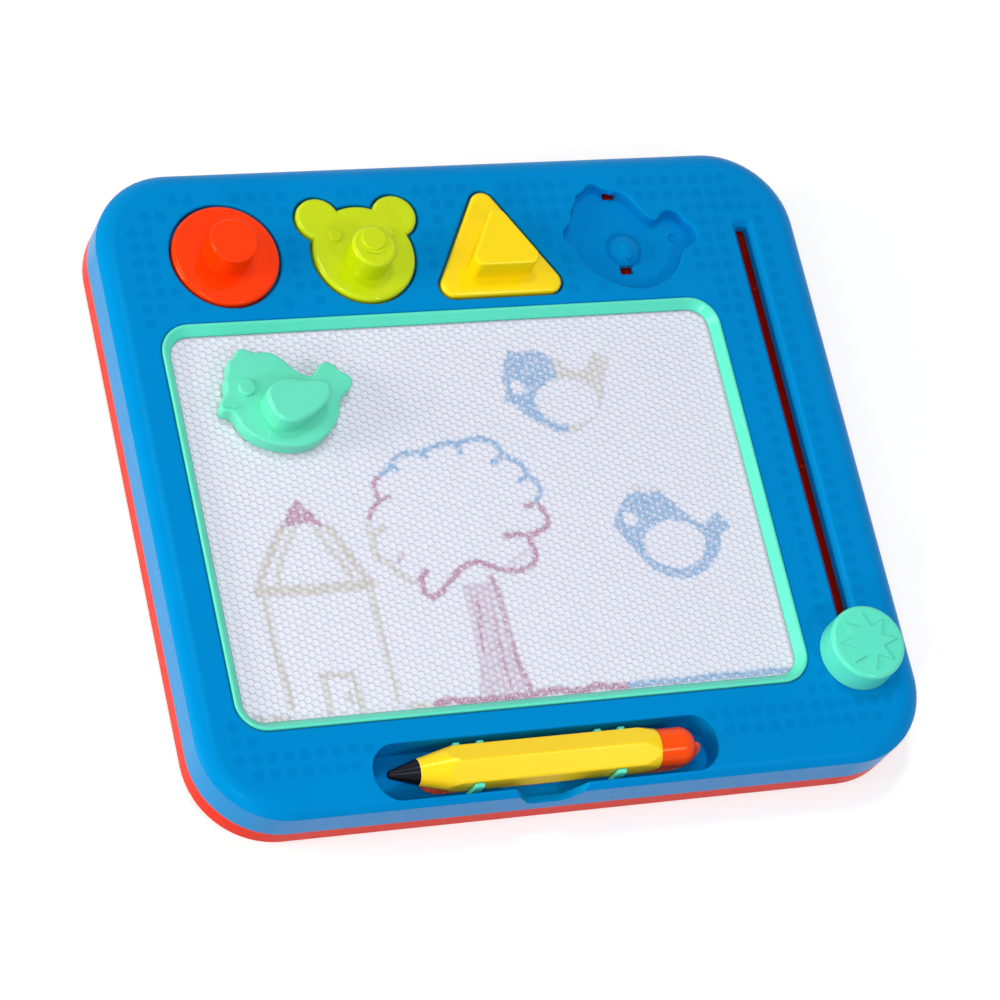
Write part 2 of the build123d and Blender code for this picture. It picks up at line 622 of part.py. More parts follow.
def back_cover():
    body = rounded_prism(CASE_LENGTH, CASE_DEPTH, CASE_CORNER, 0, SEAM_HEIGHT)
    body = fillet(edges_at(body, 0), BASE_ROUNDING)
    body -= rounded_prism(CASE_LENGTH - 2 * CASE_WALL, CASE_DEPTH - 2 * CASE_WALL, CASE_CORNER - CASE_WALL,
                          CASE_WALL, SEAM_HEIGHT + OVERRUN)
    body += back_ribs()
    body += locating_lip()
    for side in (-1, 1):
        x = side * RAIL_X
        body += block(x - RAIL_WIDTH / 2, x + RAIL_WIDTH / 2, RAIL_START, RAIL_END, CASE_WALL / 2,
                      BAR_LEVEL - RUNNING_GAP)
    for x in (CLIP_LEFT_X, CLIP_RIGHT_X):
        for side in (-1, 1):
            middle = x + side * CLIP_RIB_SPREAD
            body += block(middle - CLIP_RIB / 2, middle + CLIP_RIB / 2, FRONT_PRONG_Y, BACK_PRONG_Y, CASE_WALL / 2,
                          CLIP_LEVEL)
    for x, y in screw_places():
        body += rod(BOSS_FOOT_RADIUS, 0, SCREW_SEAT + CASE_WALL, x, y)
        body += rod(BOSS_RADIUS, 0, BOSS_SEAM, x, y)
    for x, y in screw_places():
        body -= rod(SCREW_HEAD_RADIUS + RUNNING_GAP, -OVERRUN, SCREW_SEAT, x, y)
        body -= rod(SCREW_RADIUS + FIT_GAP, 0, BOSS_SEAM + OVERRUN, x, y)
    return body


def locating_lip():
    """A low wall inside the seam that the front cover fits round."""
    gap = CASE_WALL + FIT_GAP
    inner = gap + LIP_WALL
    root = CASE_WALL / 2
    foot = SEAM_HEIGHT - LIP_ROOT
    thick = rounded_prism(CASE_LENGTH - 2 * root, CASE_DEPTH - 2 * root, CASE_CORNER - root, foot, SEAM_HEIGHT)
    thin = rounded_prism(CASE_LENGTH - 2 * gap, CASE_DEPTH - 2 * gap, CASE_CORNER - gap, foot,
                         SEAM_HEIGHT + LIP_HEIGHT)
    hollow = rounded_prism(CASE_LENGTH - 2 * inner, CASE_DEPTH - 2 * inner, CASE_CORNER - inner, foot - OVERRUN,
                           SEAM_HEIGHT + LIP_HEIGHT + OVERRUN)
    return (thick + thin) - hollow


def back_ribs():
    """A grid of low ribs across the floor."""
    ribs = []
    length = CASE_LENGTH - CASE_WALL
    depth = CASE_DEPTH - CASE_WALL
    low = CASE_WALL / 2
    high = CASE_WALL + RIB_HEIGHT
    for share in RIB_LONG_SHARES:
        y = CASE_DEPTH * share
        ribs.append(block(-length / 2, length / 2, y - RIB_WIDTH / 2, y + RIB_WIDTH / 2, low, high))
    for share in RIB_CROSS_SHARES:
        x = CASE_LENGTH * share
        ribs.append(block(x - RIB_WIDTH / 2, x + RIB_WIDTH / 2, -depth / 2, depth / 2, low, high))
    return ribs


def case_screws():
    """One flat-headed screw for each boss, with a cross-shaped socket in its head."""
    screw = rod(SCREW_HEAD_RADIUS, SCREW_SEAT - SCREW_HEAD, SCREW_SEAT)
    screw += rod(SCREW_RADIUS, SCREW_SEAT, SCREW_SEAT + SCREW_LENGTH)
    screw -= rod(SCREW_SOCKET_RADIUS, SCREW_SEAT - SCREW_HEAD, SCREW_SEAT - SCREW_HEAD + SCREW_SOCKET_DEPTH)
    return Compound(children=[Pos(x, y) * screw for x, y in screw_places()])


# Screen

def screen_frame():
    """A ring that slopes in to the screen, with a flange under the cover and a skirt round the screen's edge."""
    seat = COVER_UNDERSIDE - FLANGE_THICKNESS
    ring = rounded_prism(FRAME_LENGTH, FRAME_DEPTH, FRAME_CORNER, SCREEN_BACK, FRAME_TOP)
    ring = fillet(edges_at(ring, FRAME_TOP), FRAME_RIM_ROUNDING)
    ring += rounded_prism(FRAME_LENGTH + 2 * FLANGE_WIDTH, FRAME_DEPTH + 2 * FLANGE_WIDTH,
                          FRAME_CORNER + FLANGE_WIDTH, seat, COVER_UNDERSIDE)
    for x, y in stake_places():
        inward_x = x - STAKE_REACH * (1 if x > 0 else -1) if abs(y) < FRAME_DEPTH / 2 else x
        inward_y = y if abs(y) < FRAME_DEPTH / 2 else y - STAKE_REACH * (1 if y > 0 else -1)
        tab = make_hull([Pos(x, y) * Circle(STAKE_TAB_RADIUS).edge(),
                         Pos(inward_x, inward_y) * Circle(STAKE_TAB_RADIUS).edge()])
        ring += prism(tab, seat, COVER_UNDERSIDE)
    inset = FRAME_LAND
    wide = RectangleRounded(FRAME_LENGTH - 2 * inset, FRAME_DEPTH - 2 * inset, FRAME_CORNER - inset)
    inset = FRAME_LAND + FRAME_SLOPE
    narrow = RectangleRounded(FRAME_LENGTH - 2 * inset, FRAME_DEPTH - 2 * inset, FRAME_CORNER - inset)
    ring -= loft([Pos(0, 0, SCREEN_LEVEL) * narrow, Pos(0, 0, FRAME_TOP) * wide])
    ring -= rounded_prism(SCREEN_LENGTH + 2 * FIT_GAP, SCREEN_DEPTH + 2 * FIT_GAP, SCREEN_CORNER + FIT_GAP,
                          SCREEN_BACK - OVERRUN, SCREEN_LEVEL)
    for x, y in stake_places():
        ring -= rod(STAKE_RADIUS + FIT_GAP, seat - OVERRUN, COVER_UNDERSIDE + OVERRUN, x, y)
    return Pos(SCREEN_X, SCREEN_Y) * ring


def screen_layer(top, thickness):
    return Pos(SCREEN_X, SCREEN_Y) * rounded_prism(SCREEN_LENGTH, SCREEN_DEPTH, SCREEN_CORNER, top - thickness, top)


# Slide eraser

def star_face():
    points = []
    for i in range(2 * STAR_POINTS):
        radius = STAR_TIP_RADIUS if i % 2 == 0 else STAR_ROOT_RADIUS
        points.append((radius * cos(pi * i / STAR_POINTS), radius * sin(pi * i / STAR_POINTS)))
    return make_face(Polyline(*points, close=True))


def slider_knob():
    """A hollow round knob with a raised star, whose inner boss takes the carriage's stem."""
    top = KNOB_LEVEL + KNOB_HEIGHT
    knob = turned([(0, KNOB_LEVEL), (KNOB_RADIUS, KNOB_LEVEL), (KNOB_TOP_RADIUS, top), (0, top)])
    knob = fillet(edges_at(knob, top), KNOB_ROUNDING)
    inner = KNOB_TOP_RADIUS - KNOB_WALL
    knob -= rod(inner, KNOB_LEVEL - OVERRUN, top - KNOB_WALL)
    boss = rounded_prism(STEM_WIDTH + 2 * KNOB_BOSS_WALL, STEM_DEPTH + 2 * KNOB_BOSS_WALL, KNOB_BOSS_WALL,
                         KNOB_LEVEL, top - KNOB_WALL / 2)
    knob += boss
    knob += prism(star_face(), top - KNOB_WALL / 2, top + STAR_HEIGHT)
    knob -= rounded_prism(STEM_WIDTH + 2 * FIT_GAP, STEM_DEPTH + 2 * FIT_GAP, STEM_CORNER, KNOB_LEVEL - OVERRUN,
                          STEM_HEIGHT + FIT_GAP)
    knob -= rod(KNOB_SCREW_RADIUS + FIT_GAP, STEM_HEIGHT, top - KNOB_WALL / 2)
    return Pos(KNOB_X, KNOB_Y) * knob


def eraser_carriage():
    """The bar under the screen, its guide forks, and the arm and stem that reach the knob."""
    top = BAR_LEVEL + BAR_THICKNESS
    fork = RAIL_WIDTH / 2 + RUNNING_GAP
    reach = RAIL_X + fork + FORK_WALL
    bar = Pos(0, BAR_Y) * rounded_prism(2 * reach, BAR_DEPTH, BAR_CORNER, BAR_LEVEL, top)
    for side in (-1, 1):
        for start in (side * RAIL_X - fork - FORK_WALL, side * RAIL_X + fork):
            bar += block(start, start + FORK_WALL, BAR_Y - BAR_DEPTH / 2, BAR_Y + BAR_DEPTH / 2,
                         BAR_LEVEL - FORK_DEPTH, BAR_LEVEL + BAR_THICKNESS / 2)
    bar += block(KNOB_X - ARM_WIDTH / 2, KNOB_X + ARM_WIDTH / 2, BAR_Y, KNOB_Y + PAD_DEPTH / 2, BAR_LEVEL, top)
    place = Pos(KNOB_X, KNOB_Y)
    bar += place * rounded_prism(PAD_WIDTH, PAD_DEPTH, BAR_CORNER, BAR_LEVEL, SLOT_LEVEL - RUNNING_GAP)
    bar += place * rounded_prism(STEM_WIDTH, STEM_DEPTH, STEM_CORNER, BAR_LEVEL, STEM_HEIGHT)
    bar -= place * rod(KNOB_SCREW_HEAD_RADIUS + RUNNING_GAP, BAR_LEVEL - OVERRUN, BAR_LEVEL + KNOB_SCREW_HEAD)
    bar -= place * rod(KNOB_SCREW_RADIUS + FIT_GAP, BAR_LEVEL, STEM_HEIGHT + OVERRUN)
    return bar


def eraser_magnet_strip():
    top = BAR_LEVEL + BAR_THICKNESS
    strip = Rectangle(STRIP_LENGTH, STRIP_DEPTH)
    return Pos(SCREEN_X, BAR_Y) * prism(strip, top, top + STRIP_THICKNESS)


def knob_screw():
    top = KNOB_LEVEL + KNOB_HEIGHT - KNOB_WALL / 2 - FIT_GAP
    seat = BAR_LEVEL + KNOB_SCREW_HEAD
    screw = rod(KNOB_SCREW_HEAD_RADIUS, BAR_LEVEL, seat) + rod(KNOB_SCREW_RADIUS, seat, top)
    screw -= rod(SCREW_SOCKET_RADIUS, BAR_LEVEL, BAR_LEVEL + SCREW_SOCKET_DEPTH)
    return Pos(KNOB_X, KNOB_Y) * screw


# Pen, drawn along X about its own axis

PEN_AXIS = Axis((0, 0, 0), (1, 0, 0))


def pen_turned(points):
    """A solid turned about the pen's axis from (place along it, radius) points."""
    return revolve(make_face(Plane.XZ * Polyline(*points, close=True)), PEN_AXIS)


def pen_cylinder(radius, start, end):
    return pen_turned([(start, 0), (start, radius), (end, radius), (end, 0)])


def pen_barrel():
    """A six-sided barrel that a turned outline cuts to a cone in front and a short taper behind."""
    wide = PEN_CORNER_RADIUS
    hexagon = Plane.YZ * Rot(0, 0, 90) * RegularPolygon(wide, 6)
    bar = Pos(PEN_NOSE_X, 0, 0) * extrude(hexagon, PEN_END_X - PEN_NOSE_X)
    bar = fillet(bar.edges().filter_by(Axis.X), PEN_EDGE)
    profile = [(PEN_NOSE_X, 0), (PEN_NOSE_X, PEN_NOSE_RADIUS), (PEN_CONE_X, wide), (PEN_TAPER_X, wide),
               (PEN_END_X, PEN_END_RADIUS), (PEN_END_X, 0)]
    bar &= pen_turned(profile)
    bar -= pen_cylinder(PEN_BORE_RADIUS, PEN_BORE_X, PEN_END_X + OVERRUN)
    bar -= pen_cylinder(TIP_SHANK_RADIUS + FIT_GAP, PEN_NOSE_X - OVERRUN, PEN_BORE_X + OVERRUN)
    return Pos(0, PEN_Y, PEN_Z) * bar


def pen_tip():
    """The black tip with its rounded point, a shank in the nose and a bore for the magnet."""
    cone = pen_turned([(PEN_TIP_X, 0), (PEN_TIP_X, TIP_POINT_RADIUS), (PEN_NOSE_X, PEN_NOSE_RADIUS), (PEN_NOSE_X, 0)])
    point = cone.edges().filter_by(GeomType.CIRCLE).sort_by(Axis.X)[0]
    tip = fillet(point, TIP_ROUNDING)
    tip += pen_cylinder(TIP_SHANK_RADIUS, PEN_NOSE_X, TIP_SHANK_X)
    tip -= pen_cylinder(TIP_MAGNET_RADIUS + FIT_GAP, TIP_MAGNET_X, TIP_SHANK_X + OVERRUN)
    return Pos(0, PEN_Y, PEN_Z) * tip


def pen_tip_magnet():
    return Pos(0, PEN_Y, PEN_Z) * pen_cylinder(TIP_MAGNET_RADIUS, TIP_MAGNET_X, TIP_MAGNET_X + TIP_MAGNET_LENGTH)


def pen_end_cap():
    """The domed cap, its plug in the barrel, and the hole that the cord comes out of."""
    middle_x = CAP_SHOULDER_X + (CAP_END_X - CAP_SHOULDER_X) * cos(pi / 4)
    middle_r = CAP_LAND_RADIUS + (CAP_RADIUS - CAP_LAND_RADIUS) * cos(pi / 4)
    line = Polyline((CAP_END_X, CAP_LAND_RADIUS), (CAP_END_X, 0), (PEN_END_X, 0), (PEN_END_X, CAP_RADIUS),
                    (CAP_SHOULDER_X, CAP_RADIUS))
    arc = ThreePointArc((CAP_SHOULDER_X, CAP_RADIUS), (middle_x, middle_r), (CAP_END_X, CAP_LAND_RADIUS))
    cap = revolve(make_face(Plane.XZ * (line + arc)), PEN_AXIS)
    plug = PEN_BORE_RADIUS - FIT_GAP
    cap += pen_cylinder(plug, PEN_END_X - CAP_PLUG_LENGTH, PEN_END_X + CAP_WALL / 2)
    cap -= pen_cylinder(plug - CAP_WALL, PEN_END_X - CAP_PLUG_LENGTH - OVERRUN, CAP_END_X - CAP_WALL)
    cap -= pen_cylinder(HOLE_RADIUS, PEN_END_X, CAP_END_X + OVERRUN)
    return Pos(0, PEN_Y, PEN_Z) * cap


# Pen clips

def clip(x):
    """A moulding under the tray's floor whose three prongs and saddle come up through it."""
    under = TRAY_FLOOR - TRAY_WALL
    front = FRONT_PRONG_Y - PRONG_THICKNESS / 2 - RUNNING_GAP
    back = BACK_PRONG_Y + PRONG_THICKNESS / 2 + RUNNING_GAP
    base = Pos(x, (front + back) / 2) * rounded_prism(CLIP_LENGTH, back - front, CLIP_EDGE, CLIP_LEVEL, under)
    base += prong(x, FRONT_PRONG_Y, PRONG_WIDTH, PRONG_TOP_WIDTH, PRONG_TOP)
    for side in (-1, 1):
        base += prong(x + side * BACK_PRONG_SPREAD, BACK_PRONG_Y, BACK_PRONG_WIDTH, BACK_PRONG_WIDTH - CLIP_EDGE,
                      BACK_PRONG_TOP)
    return base + saddle(x)


def prong(x, y, width, top_width, top):
    """A springy finger, narrower at its rounded top."""
    low = CLIP_LEVEL + CLIP_BASE / 2
    face = make_face(Polyline((-width / 2, low), (width / 2, low), (width / 2, TRAY_FLOOR), (top_width / 2, top),
                              (-top_width / 2, top), (-width / 2, TRAY_FLOOR), close=True))
    finger = Pos(x, y + PRONG_THICKNESS / 2, 0) * extrude(Plane.XZ * face, PRONG_THICKNESS)
    return fillet(edges_at(finger, top).filter_by(Axis.X), PRONG_ROUNDING)


def saddle(x):
    """A short post with a V top that the pen's lower edge lies in."""
    half = SADDLE_WIDTH / 2
    low = CLIP_LEVEL + CLIP_BASE / 2
    bottom = PEN_Z - PEN_CORNER_RADIUS - RUNNING_GAP
    side = bottom + half * tan(pi / 6)
    face = make_face(Polyline((-half, low), (half, low), (half, side), (0, bottom), (-half, side), close=True))
    return Pos(x - half, PEN_Y, 0) * extrude(Plane.YZ * face, SADDLE_WIDTH)


# Stamps, each about its own centre with its underside at height zero

def stamp_shell(outline, rounding):
    """A shallow shell with a stepped rim that holds the magnet sheet."""
    shell = prism(outline(0), 0, STAMP_HEIGHT)
    shell = fillet(edges_at(shell, STAMP_HEIGHT), rounding)
    shell -= prism(outline(-STAMP_WALL), MAGNET_THICKNESS, STAMP_HEIGHT - STAMP_WALL)
    return shell - prism(outline(-STAMP_RIM), -OVERRUN, MAGNET_THICKNESS)


def magnet_sheet(outline, belly_y=0):
    sheet = prism(outline(-STAMP_RIM - FIT_GAP), 0, MAGNET_THICKNESS)
    return sheet - rod(BELLY_RADIUS, -OVERRUN, MAGNET_THICKNESS + OVERRUN, 0, belly_y)


def round_press(radius, rounding, y=0):
    """A hollow round knob on a stamp, and the space inside it."""
    top = STAMP_HEIGHT + PRESS_HEIGHT
    foot = STAMP_HEIGHT - STAMP_WALL / 2
    outer = turned([(0, foot), (radius, foot), (radius - STAMP_DRAFT, top), (0, top)])
    outer = fillet(edges_at(outer, top), rounding)
    inner = rod(radius - STAMP_WALL - STAMP_DRAFT, STAMP_HEIGHT - STAMP_WALL - OVERRUN, top - STAMP_WALL)
    return Pos(0, y) * outer, Pos(0, y) * inner


def circle_stamp():
    outer, inner = round_press(CIRCLE_KNOB_RADIUS, PRESS_ROUNDING)
    stamp = stamp_shell(circle_outline, STAMP_ROUNDING) + outer - inner
    return Pos(CIRCLE_X, CIRCLE_Y, RECESS_LEVEL) * stamp


def bear_shell():
    """Head and ears are rounded singly before they are joined, which leaves a crease between them."""
    shell = rounded_disc(BEAR_HEAD_RADIUS)
    for side in (-1, 1):
        shell += Pos(side * BEAR_EAR_X, BEAR_EAR_Y) * rounded_disc(BEAR_EAR_RADIUS)
    shell -= prism(bear_outline(-STAMP_WALL), MAGNET_THICKNESS, STAMP_HEIGHT - STAMP_WALL)
    return shell - prism(bear_outline(-STAMP_RIM), -OVERRUN, MAGNET_THICKNESS)


def rounded_disc(radius):
    disc = rod(radius, 0, STAMP_HEIGHT)
    return fillet(edges_at(disc, STAMP_HEIGHT), STAMP_ROUNDING)


def button(radius, height, rounding, x, y, foot):
    """A low round button with a rounded top."""
    knob = rod(radius, foot - STAMP_WALL / 2, foot + height, x, y)
    return fillet(edges_at(knob, foot + height), rounding)


def smile(top):
    """A shallow groove in the snout's top, an arc of a ring."""
    arc = CenterArc((0, BEAR_NOSE_Y - BEAR_SNOUT_DROP), BEAR_SMILE_RADIUS, -90 - BEAR_SMILE_ANGLE / 2, BEAR_SMILE_ANGLE)
    groove = trace(arc, BEAR_SMILE_WIDTH)
    return prism(groove, top - BEAR_SMILE_DEPTH, top + OVERRUN)


def bear_stamp():
    top = STAMP_HEIGHT + PRESS_HEIGHT
    outer, inner = round_press(BEAR_SNOUT_RADIUS, BEAR_SNOUT_ROUNDING, -BEAR_SNOUT_DROP)
    stamp = bear_shell() + outer - inner
    for side in (-1, 1):
        stamp += button(BEAR_EYE_RADIUS, BEAR_EYE_HEIGHT, BEAR_EYE_ROUNDING, side * BEAR_EYE_X, BEAR_EYE_Y,
                        STAMP_HEIGHT)
    stamp += button(BEAR_NOSE_RADIUS, BEAR_NOSE_HEIGHT, BEAR_NOSE_ROUNDING, 0, BEAR_NOSE_Y - BEAR_SNOUT_DROP, top)
    stamp -= smile(top)
    return Pos(BEAR_X, BEAR_Y, RECESS_LEVEL) * stamp


def triangle_stamp():
    top = STAMP_HEIGHT + TRIANGLE_KNOB_HEIGHT
    knob = prism(rounded_triangle(TRIANGLE_KNOB_INRADIUS, TRIANGLE_KNOB_CORNER), STAMP_HEIGHT - STAMP_WALL / 2, top)
    knob = fillet(edges_at(knob, top), PRESS_ROUNDING)
    hollow = rounded_triangle(TRIANGLE_KNOB_INRADIUS - STAMP_WALL, TRIANGLE_KNOB_CORNER - STAMP_WALL)
    stamp = stamp_shell(triangle_outline, STAMP_ROUNDING) + knob
    stamp -= prism(hollow, STAMP_HEIGHT - STAMP_WALL - OVERRUN, top - STAMP_WALL)
    return Pos(TRIANGLE_X, TRIANGLE_Y, RECESS_LEVEL) * stamp


def bird_place():
    return Pos(BIRD_ON_SCREEN_X, BIRD_ON_SCREEN_Y, SCREEN_LEVEL) * Rot(0, 0, BIRD_TURN)


def bird_stamp():
    """The bird with a ring eye, a ridge on its beak and a wing that is the knob."""
    top = STAMP_HEIGHT + WING_HEIGHT
    wing = prism(smooth_outline(WING_SHARES, 0), STAMP_HEIGHT - STAMP_WALL / 2, top)
    wing = fillet(edges_at(wing, top), WING_ROUNDING)
    stamp = stamp_shell(bird_outline, BIRD_ROUNDING) + wing
    stamp -= prism(smooth_outline(WING_SHARES, -STAMP_WALL), STAMP_HEIGHT - STAMP_WALL - OVERRUN, top - STAMP_WALL)
    stamp += button(BIRD_EYE_RADIUS, BIRD_EYE_HEIGHT, BIRD_EYE_ROUNDING, -BIRD_EYE_X, BIRD_EYE_Y, STAMP_HEIGHT)
    ridge = rounded_prism(BIRD_BEAK_LENGTH, BIRD_BEAK_WIDTH, BIRD_BEAK_WIDTH / 2 - FIT_GAP,
                          STAMP_HEIGHT - STAMP_WALL / 2, STAMP_HEIGHT + BIRD_BEAK_HEIGHT)
    stamp += Pos(-BIRD_BEAK_X, BIRD_BEAK_Y) * Rot(0, 0, BIRD_BEAK_TURN) * ridge
    return bird_place() * stamp


def bird_magnet():
    """The sheet's two holes leave the eye and the belly white in a print."""
    sheet = magnet_sheet(bird_outline)
    sheet -= rod(BIRD_EYE_RADIUS, -OVERRUN, MAGNET_THICKNESS + OVERRUN, -BIRD_EYE_X, BIRD_EYE_Y)
    return bird_place() * sheet


# Tether cord

def cord_bends():
    """The radius at each inner point of the route, the largest that its shorter run has room for."""
    radii = []
    for before, here, after in zip(CORD_ROUTE, CORD_ROUTE[1:], CORD_ROUTE[2:]):
        into = Vector(*here) - Vector(*before)
        out = Vector(*after) - Vector(*here)
        turn = into.get_angle(out) * pi / 180
        radii.append(CORD_BEND_SHARE * min(into.length, out.length) / tan(turn / 2))
    return radii


def pen_tether():
    """One unbroken tube of straight runs joined by tangent arcs."""
    radii = cord_bends()
    route = FilletPolyline(*CORD_ROUTE, radius=radii)
    tube = sweep(Plane(origin=route @ 0, z_dir=route % 0) * Circle(CORD_RADIUS), route)
    print("cord bends", [round(r, 1) for r in radii])
    print("cord length", round(route.length, 1), "fill", round(tube.volume / (route.length * pi * CORD_RADIUS ** 2), 4))
    return tube


def knot():
    """A pulled-tight knot, plumper than the cord, with its flat mouth at height zero."""
    body = turned([(0, -KNOT_HEIGHT), (KNOT_RADIUS, -KNOT_HEIGHT), (KNOT_RADIUS, 0), (0, 0)])
    return fillet(body.edges().filter_by(GeomType.CIRCLE), KNOT_ROUNDING)


def tether_anchor_knot():
    x, y, low = CORD_ROUTE[-1]
    return Pos(x, y, low) * knot()


def tether_cap_knot():
    """The knot behind the cap's end wall, with the short length of cord that fills the hole."""
    inside = CAP_END_X - CAP_WALL - FIT_GAP
    body = Pos(inside, 0, 0) * Rot(0, 90, 0) * knot()
    body += pen_cylinder(CORD_RADIUS, inside - KNOT_HEIGHT / 2, CAP_END_X)
    return Pos(0, PEN_Y, PEN_Z) * body


def at(x, y, part, z=RECESS_LEVEL):
    return Pos(x, y, z) * part


NODES = {
    "front_cover": front_cover,
    "back_cover": back_cover,
    "case_screws": case_screws,
    "screen_frame": screen_frame,
    "screen_face_film": lambda: screen_layer(SCREEN_LEVEL, FILM_THICKNESS),
    "screen_honeycomb": lambda: screen_layer(SCREEN_LEVEL - FILM_THICKNESS, HONEYCOMB_THICKNESS),
    "screen_back_film": lambda: screen_layer(SCREEN_BACK + FILM_THICKNESS, FILM_THICKNESS),
    "slider_knob": slider_knob,
    "eraser_carriage": eraser_carriage,
    "eraser_magnet_strip": eraser_magnet_strip,
    "knob_screw": knob_screw,
    "pen_barrel": pen_barrel,
    "pen_tip": pen_tip,
    "pen_tip_magnet": pen_tip_magnet,
    "pen_end_cap": pen_end_cap,
    "pen_tether": pen_tether,
    "tether_cap_knot": tether_cap_knot,
    "tether_anchor_knot": tether_anchor_knot,
    "pen_clip_left": lambda: clip(CLIP_LEFT_X),
    "pen_clip_right": lambda: clip(CLIP_RIGHT_X),
    "circle_stamp": circle_stamp,
    "circle_magnet": lambda: at(CIRCLE_X, CIRCLE_Y, magnet_sheet(circle_outline)),
    "bear_stamp": bear_stamp,
    "bear_magnet": lambda: at(BEAR_X, BEAR_Y, magnet_sheet(bear_outline, -BEAR_SNOUT_DROP)),
    "triangle_stamp": triangle_stamp,
    "triangle_magnet": lambda: at(TRIANGLE_X, TRIANGLE_Y, magnet_sheet(triangle_outline)),
    "bird_stamp": bird_stamp,
    "bird_magnet": bird_magnet,
}

os.makedirs("parts", exist_ok=True)
for name, make in NODES.items():
    export_step(make(), "parts/" + name + ".step")
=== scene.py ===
"""Looks of the magnetic drawing board: materials, screen, doodle, moulded dots, cord, light and camera."""

import json
import math
import random

import bpy
import numpy as np
from mathutils import Matrix, Vector, noise

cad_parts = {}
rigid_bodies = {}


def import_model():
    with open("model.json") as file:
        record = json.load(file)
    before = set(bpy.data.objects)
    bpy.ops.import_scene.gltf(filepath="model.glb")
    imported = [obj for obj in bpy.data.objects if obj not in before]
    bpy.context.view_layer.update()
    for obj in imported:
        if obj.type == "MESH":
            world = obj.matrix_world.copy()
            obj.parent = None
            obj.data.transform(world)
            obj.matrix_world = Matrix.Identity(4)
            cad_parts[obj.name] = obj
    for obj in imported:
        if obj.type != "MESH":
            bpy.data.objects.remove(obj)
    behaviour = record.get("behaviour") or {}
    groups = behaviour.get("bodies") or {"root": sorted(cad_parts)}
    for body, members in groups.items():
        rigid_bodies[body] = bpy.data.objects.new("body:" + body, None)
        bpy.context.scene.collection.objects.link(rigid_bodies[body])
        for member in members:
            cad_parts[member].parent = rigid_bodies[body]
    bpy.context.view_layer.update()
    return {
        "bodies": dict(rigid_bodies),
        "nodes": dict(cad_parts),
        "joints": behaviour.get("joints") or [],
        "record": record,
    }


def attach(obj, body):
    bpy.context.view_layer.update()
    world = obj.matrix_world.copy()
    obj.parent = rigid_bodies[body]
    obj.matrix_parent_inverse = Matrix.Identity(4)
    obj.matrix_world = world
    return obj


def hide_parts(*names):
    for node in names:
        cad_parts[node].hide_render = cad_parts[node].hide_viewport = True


MM = 0.001
WHITE = (255, 255, 255)

# Patterns of the moulded plastics, in millimetres. The shading's rounded edges fade in between two heights.
CLOUD_SIZE = 45.0
GLOSS_SIZE = 9.0
GLOSS_SPREAD = 0.1
GRAIN_SIZE = 0.9
GRAIN_DEPTH = 0.06
SOFT_DEPTH = 1.2
SOFT_EDGE_LEVELS = (21.0, 23.0)
SOFT_EDGE_SAMPLES = 4

# Each plastic: name, colour, roughness, grain, spread of its shade, colour and level of its highlights,
# share of light that goes below its surface, rounding of its edges in millimetres, and its nodes.
PLASTICS = (
    ("blue_case", (0, 132, 202), 0.3, 0.03, 0.02, (60, 205, 255), 0.12, 0.0, 0.9, ("front_cover",)),
    ("red_case", (226, 44, 20), 0.34, 0.3, 0.03, (255, 120, 90), 0.08, 0.0, 0.0, ("back_cover",)),
    ("mint_plastic", (94, 226, 196), 0.18, 0.0, 0.02, (190, 255, 245), 0.35, 0.1, 0.9,
     ("screen_frame", "slider_knob", "pen_clip_left", "pen_clip_right")),
    ("milky_film", (226, 226, 232), 0.4, 0.0, 0.05, WHITE, 0.5, 0.0, 0.0,
     ("screen_back_film", "screen_honeycomb")),
    ("inner_plastic", (206, 204, 198), 0.4, 0.2, 0.05, WHITE, 0.5, 0.0, 0.0, ("eraser_carriage",)),
    ("magnet_sheet", (62, 52, 48), 0.6, 0.5, 0.12, WHITE, 0.5, 0.0, 0.0,
     ("eraser_magnet_strip", "circle_magnet", "bear_magnet", "triangle_magnet", "bird_magnet")),
    ("tip_magnet", (60, 60, 62), 0.4, 0.3, 0.05, WHITE, 0.5, 0.0, 0.0, ("pen_tip_magnet",)),
    ("yellow_plastic", (253, 212, 24), 0.22, 0.0, 0.02, (255, 240, 150), 0.45, 0.08, 0.5, ("pen_barrel",)),
    ("black_plastic", (14, 14, 18), 0.26, 0.0, 0.1, (160, 160, 190), 0.3, 0.0, 0.0, ("pen_tip",)),
    ("orange_plastic", (255, 76, 6), 0.2, 0.0, 0.02, (255, 170, 130), 0.4, 0.08, 0.0, ("pen_end_cap",)),
    ("circle_plastic", (255, 58, 0), 0.12, 0.0, 0.02, (255, 190, 160), 0.26, 0.08, 0.0, ("circle_stamp",)),
    ("bear_plastic", (196, 216, 8), 0.12, 0.0, 0.02, (250, 255, 190), 0.32, 0.1, 0.0, ("bear_stamp",)),
    ("triangle_plastic", (250, 216, 8), 0.12, 0.0, 0.02, (255, 248, 190), 0.32, 0.1, 0.0,
     ("triangle_stamp",)),
    ("bird_plastic", (100, 220, 188), 0.12, 0.0, 0.02, (220, 255, 245), 0.32, 0.1, 0.0, ("bird_stamp",)),
    ("dot_plastic", (0, 126, 196), 0.3, 0.0, 0.03, (20, 175, 255), 0.1, 0.0, 0.0, ()),
)

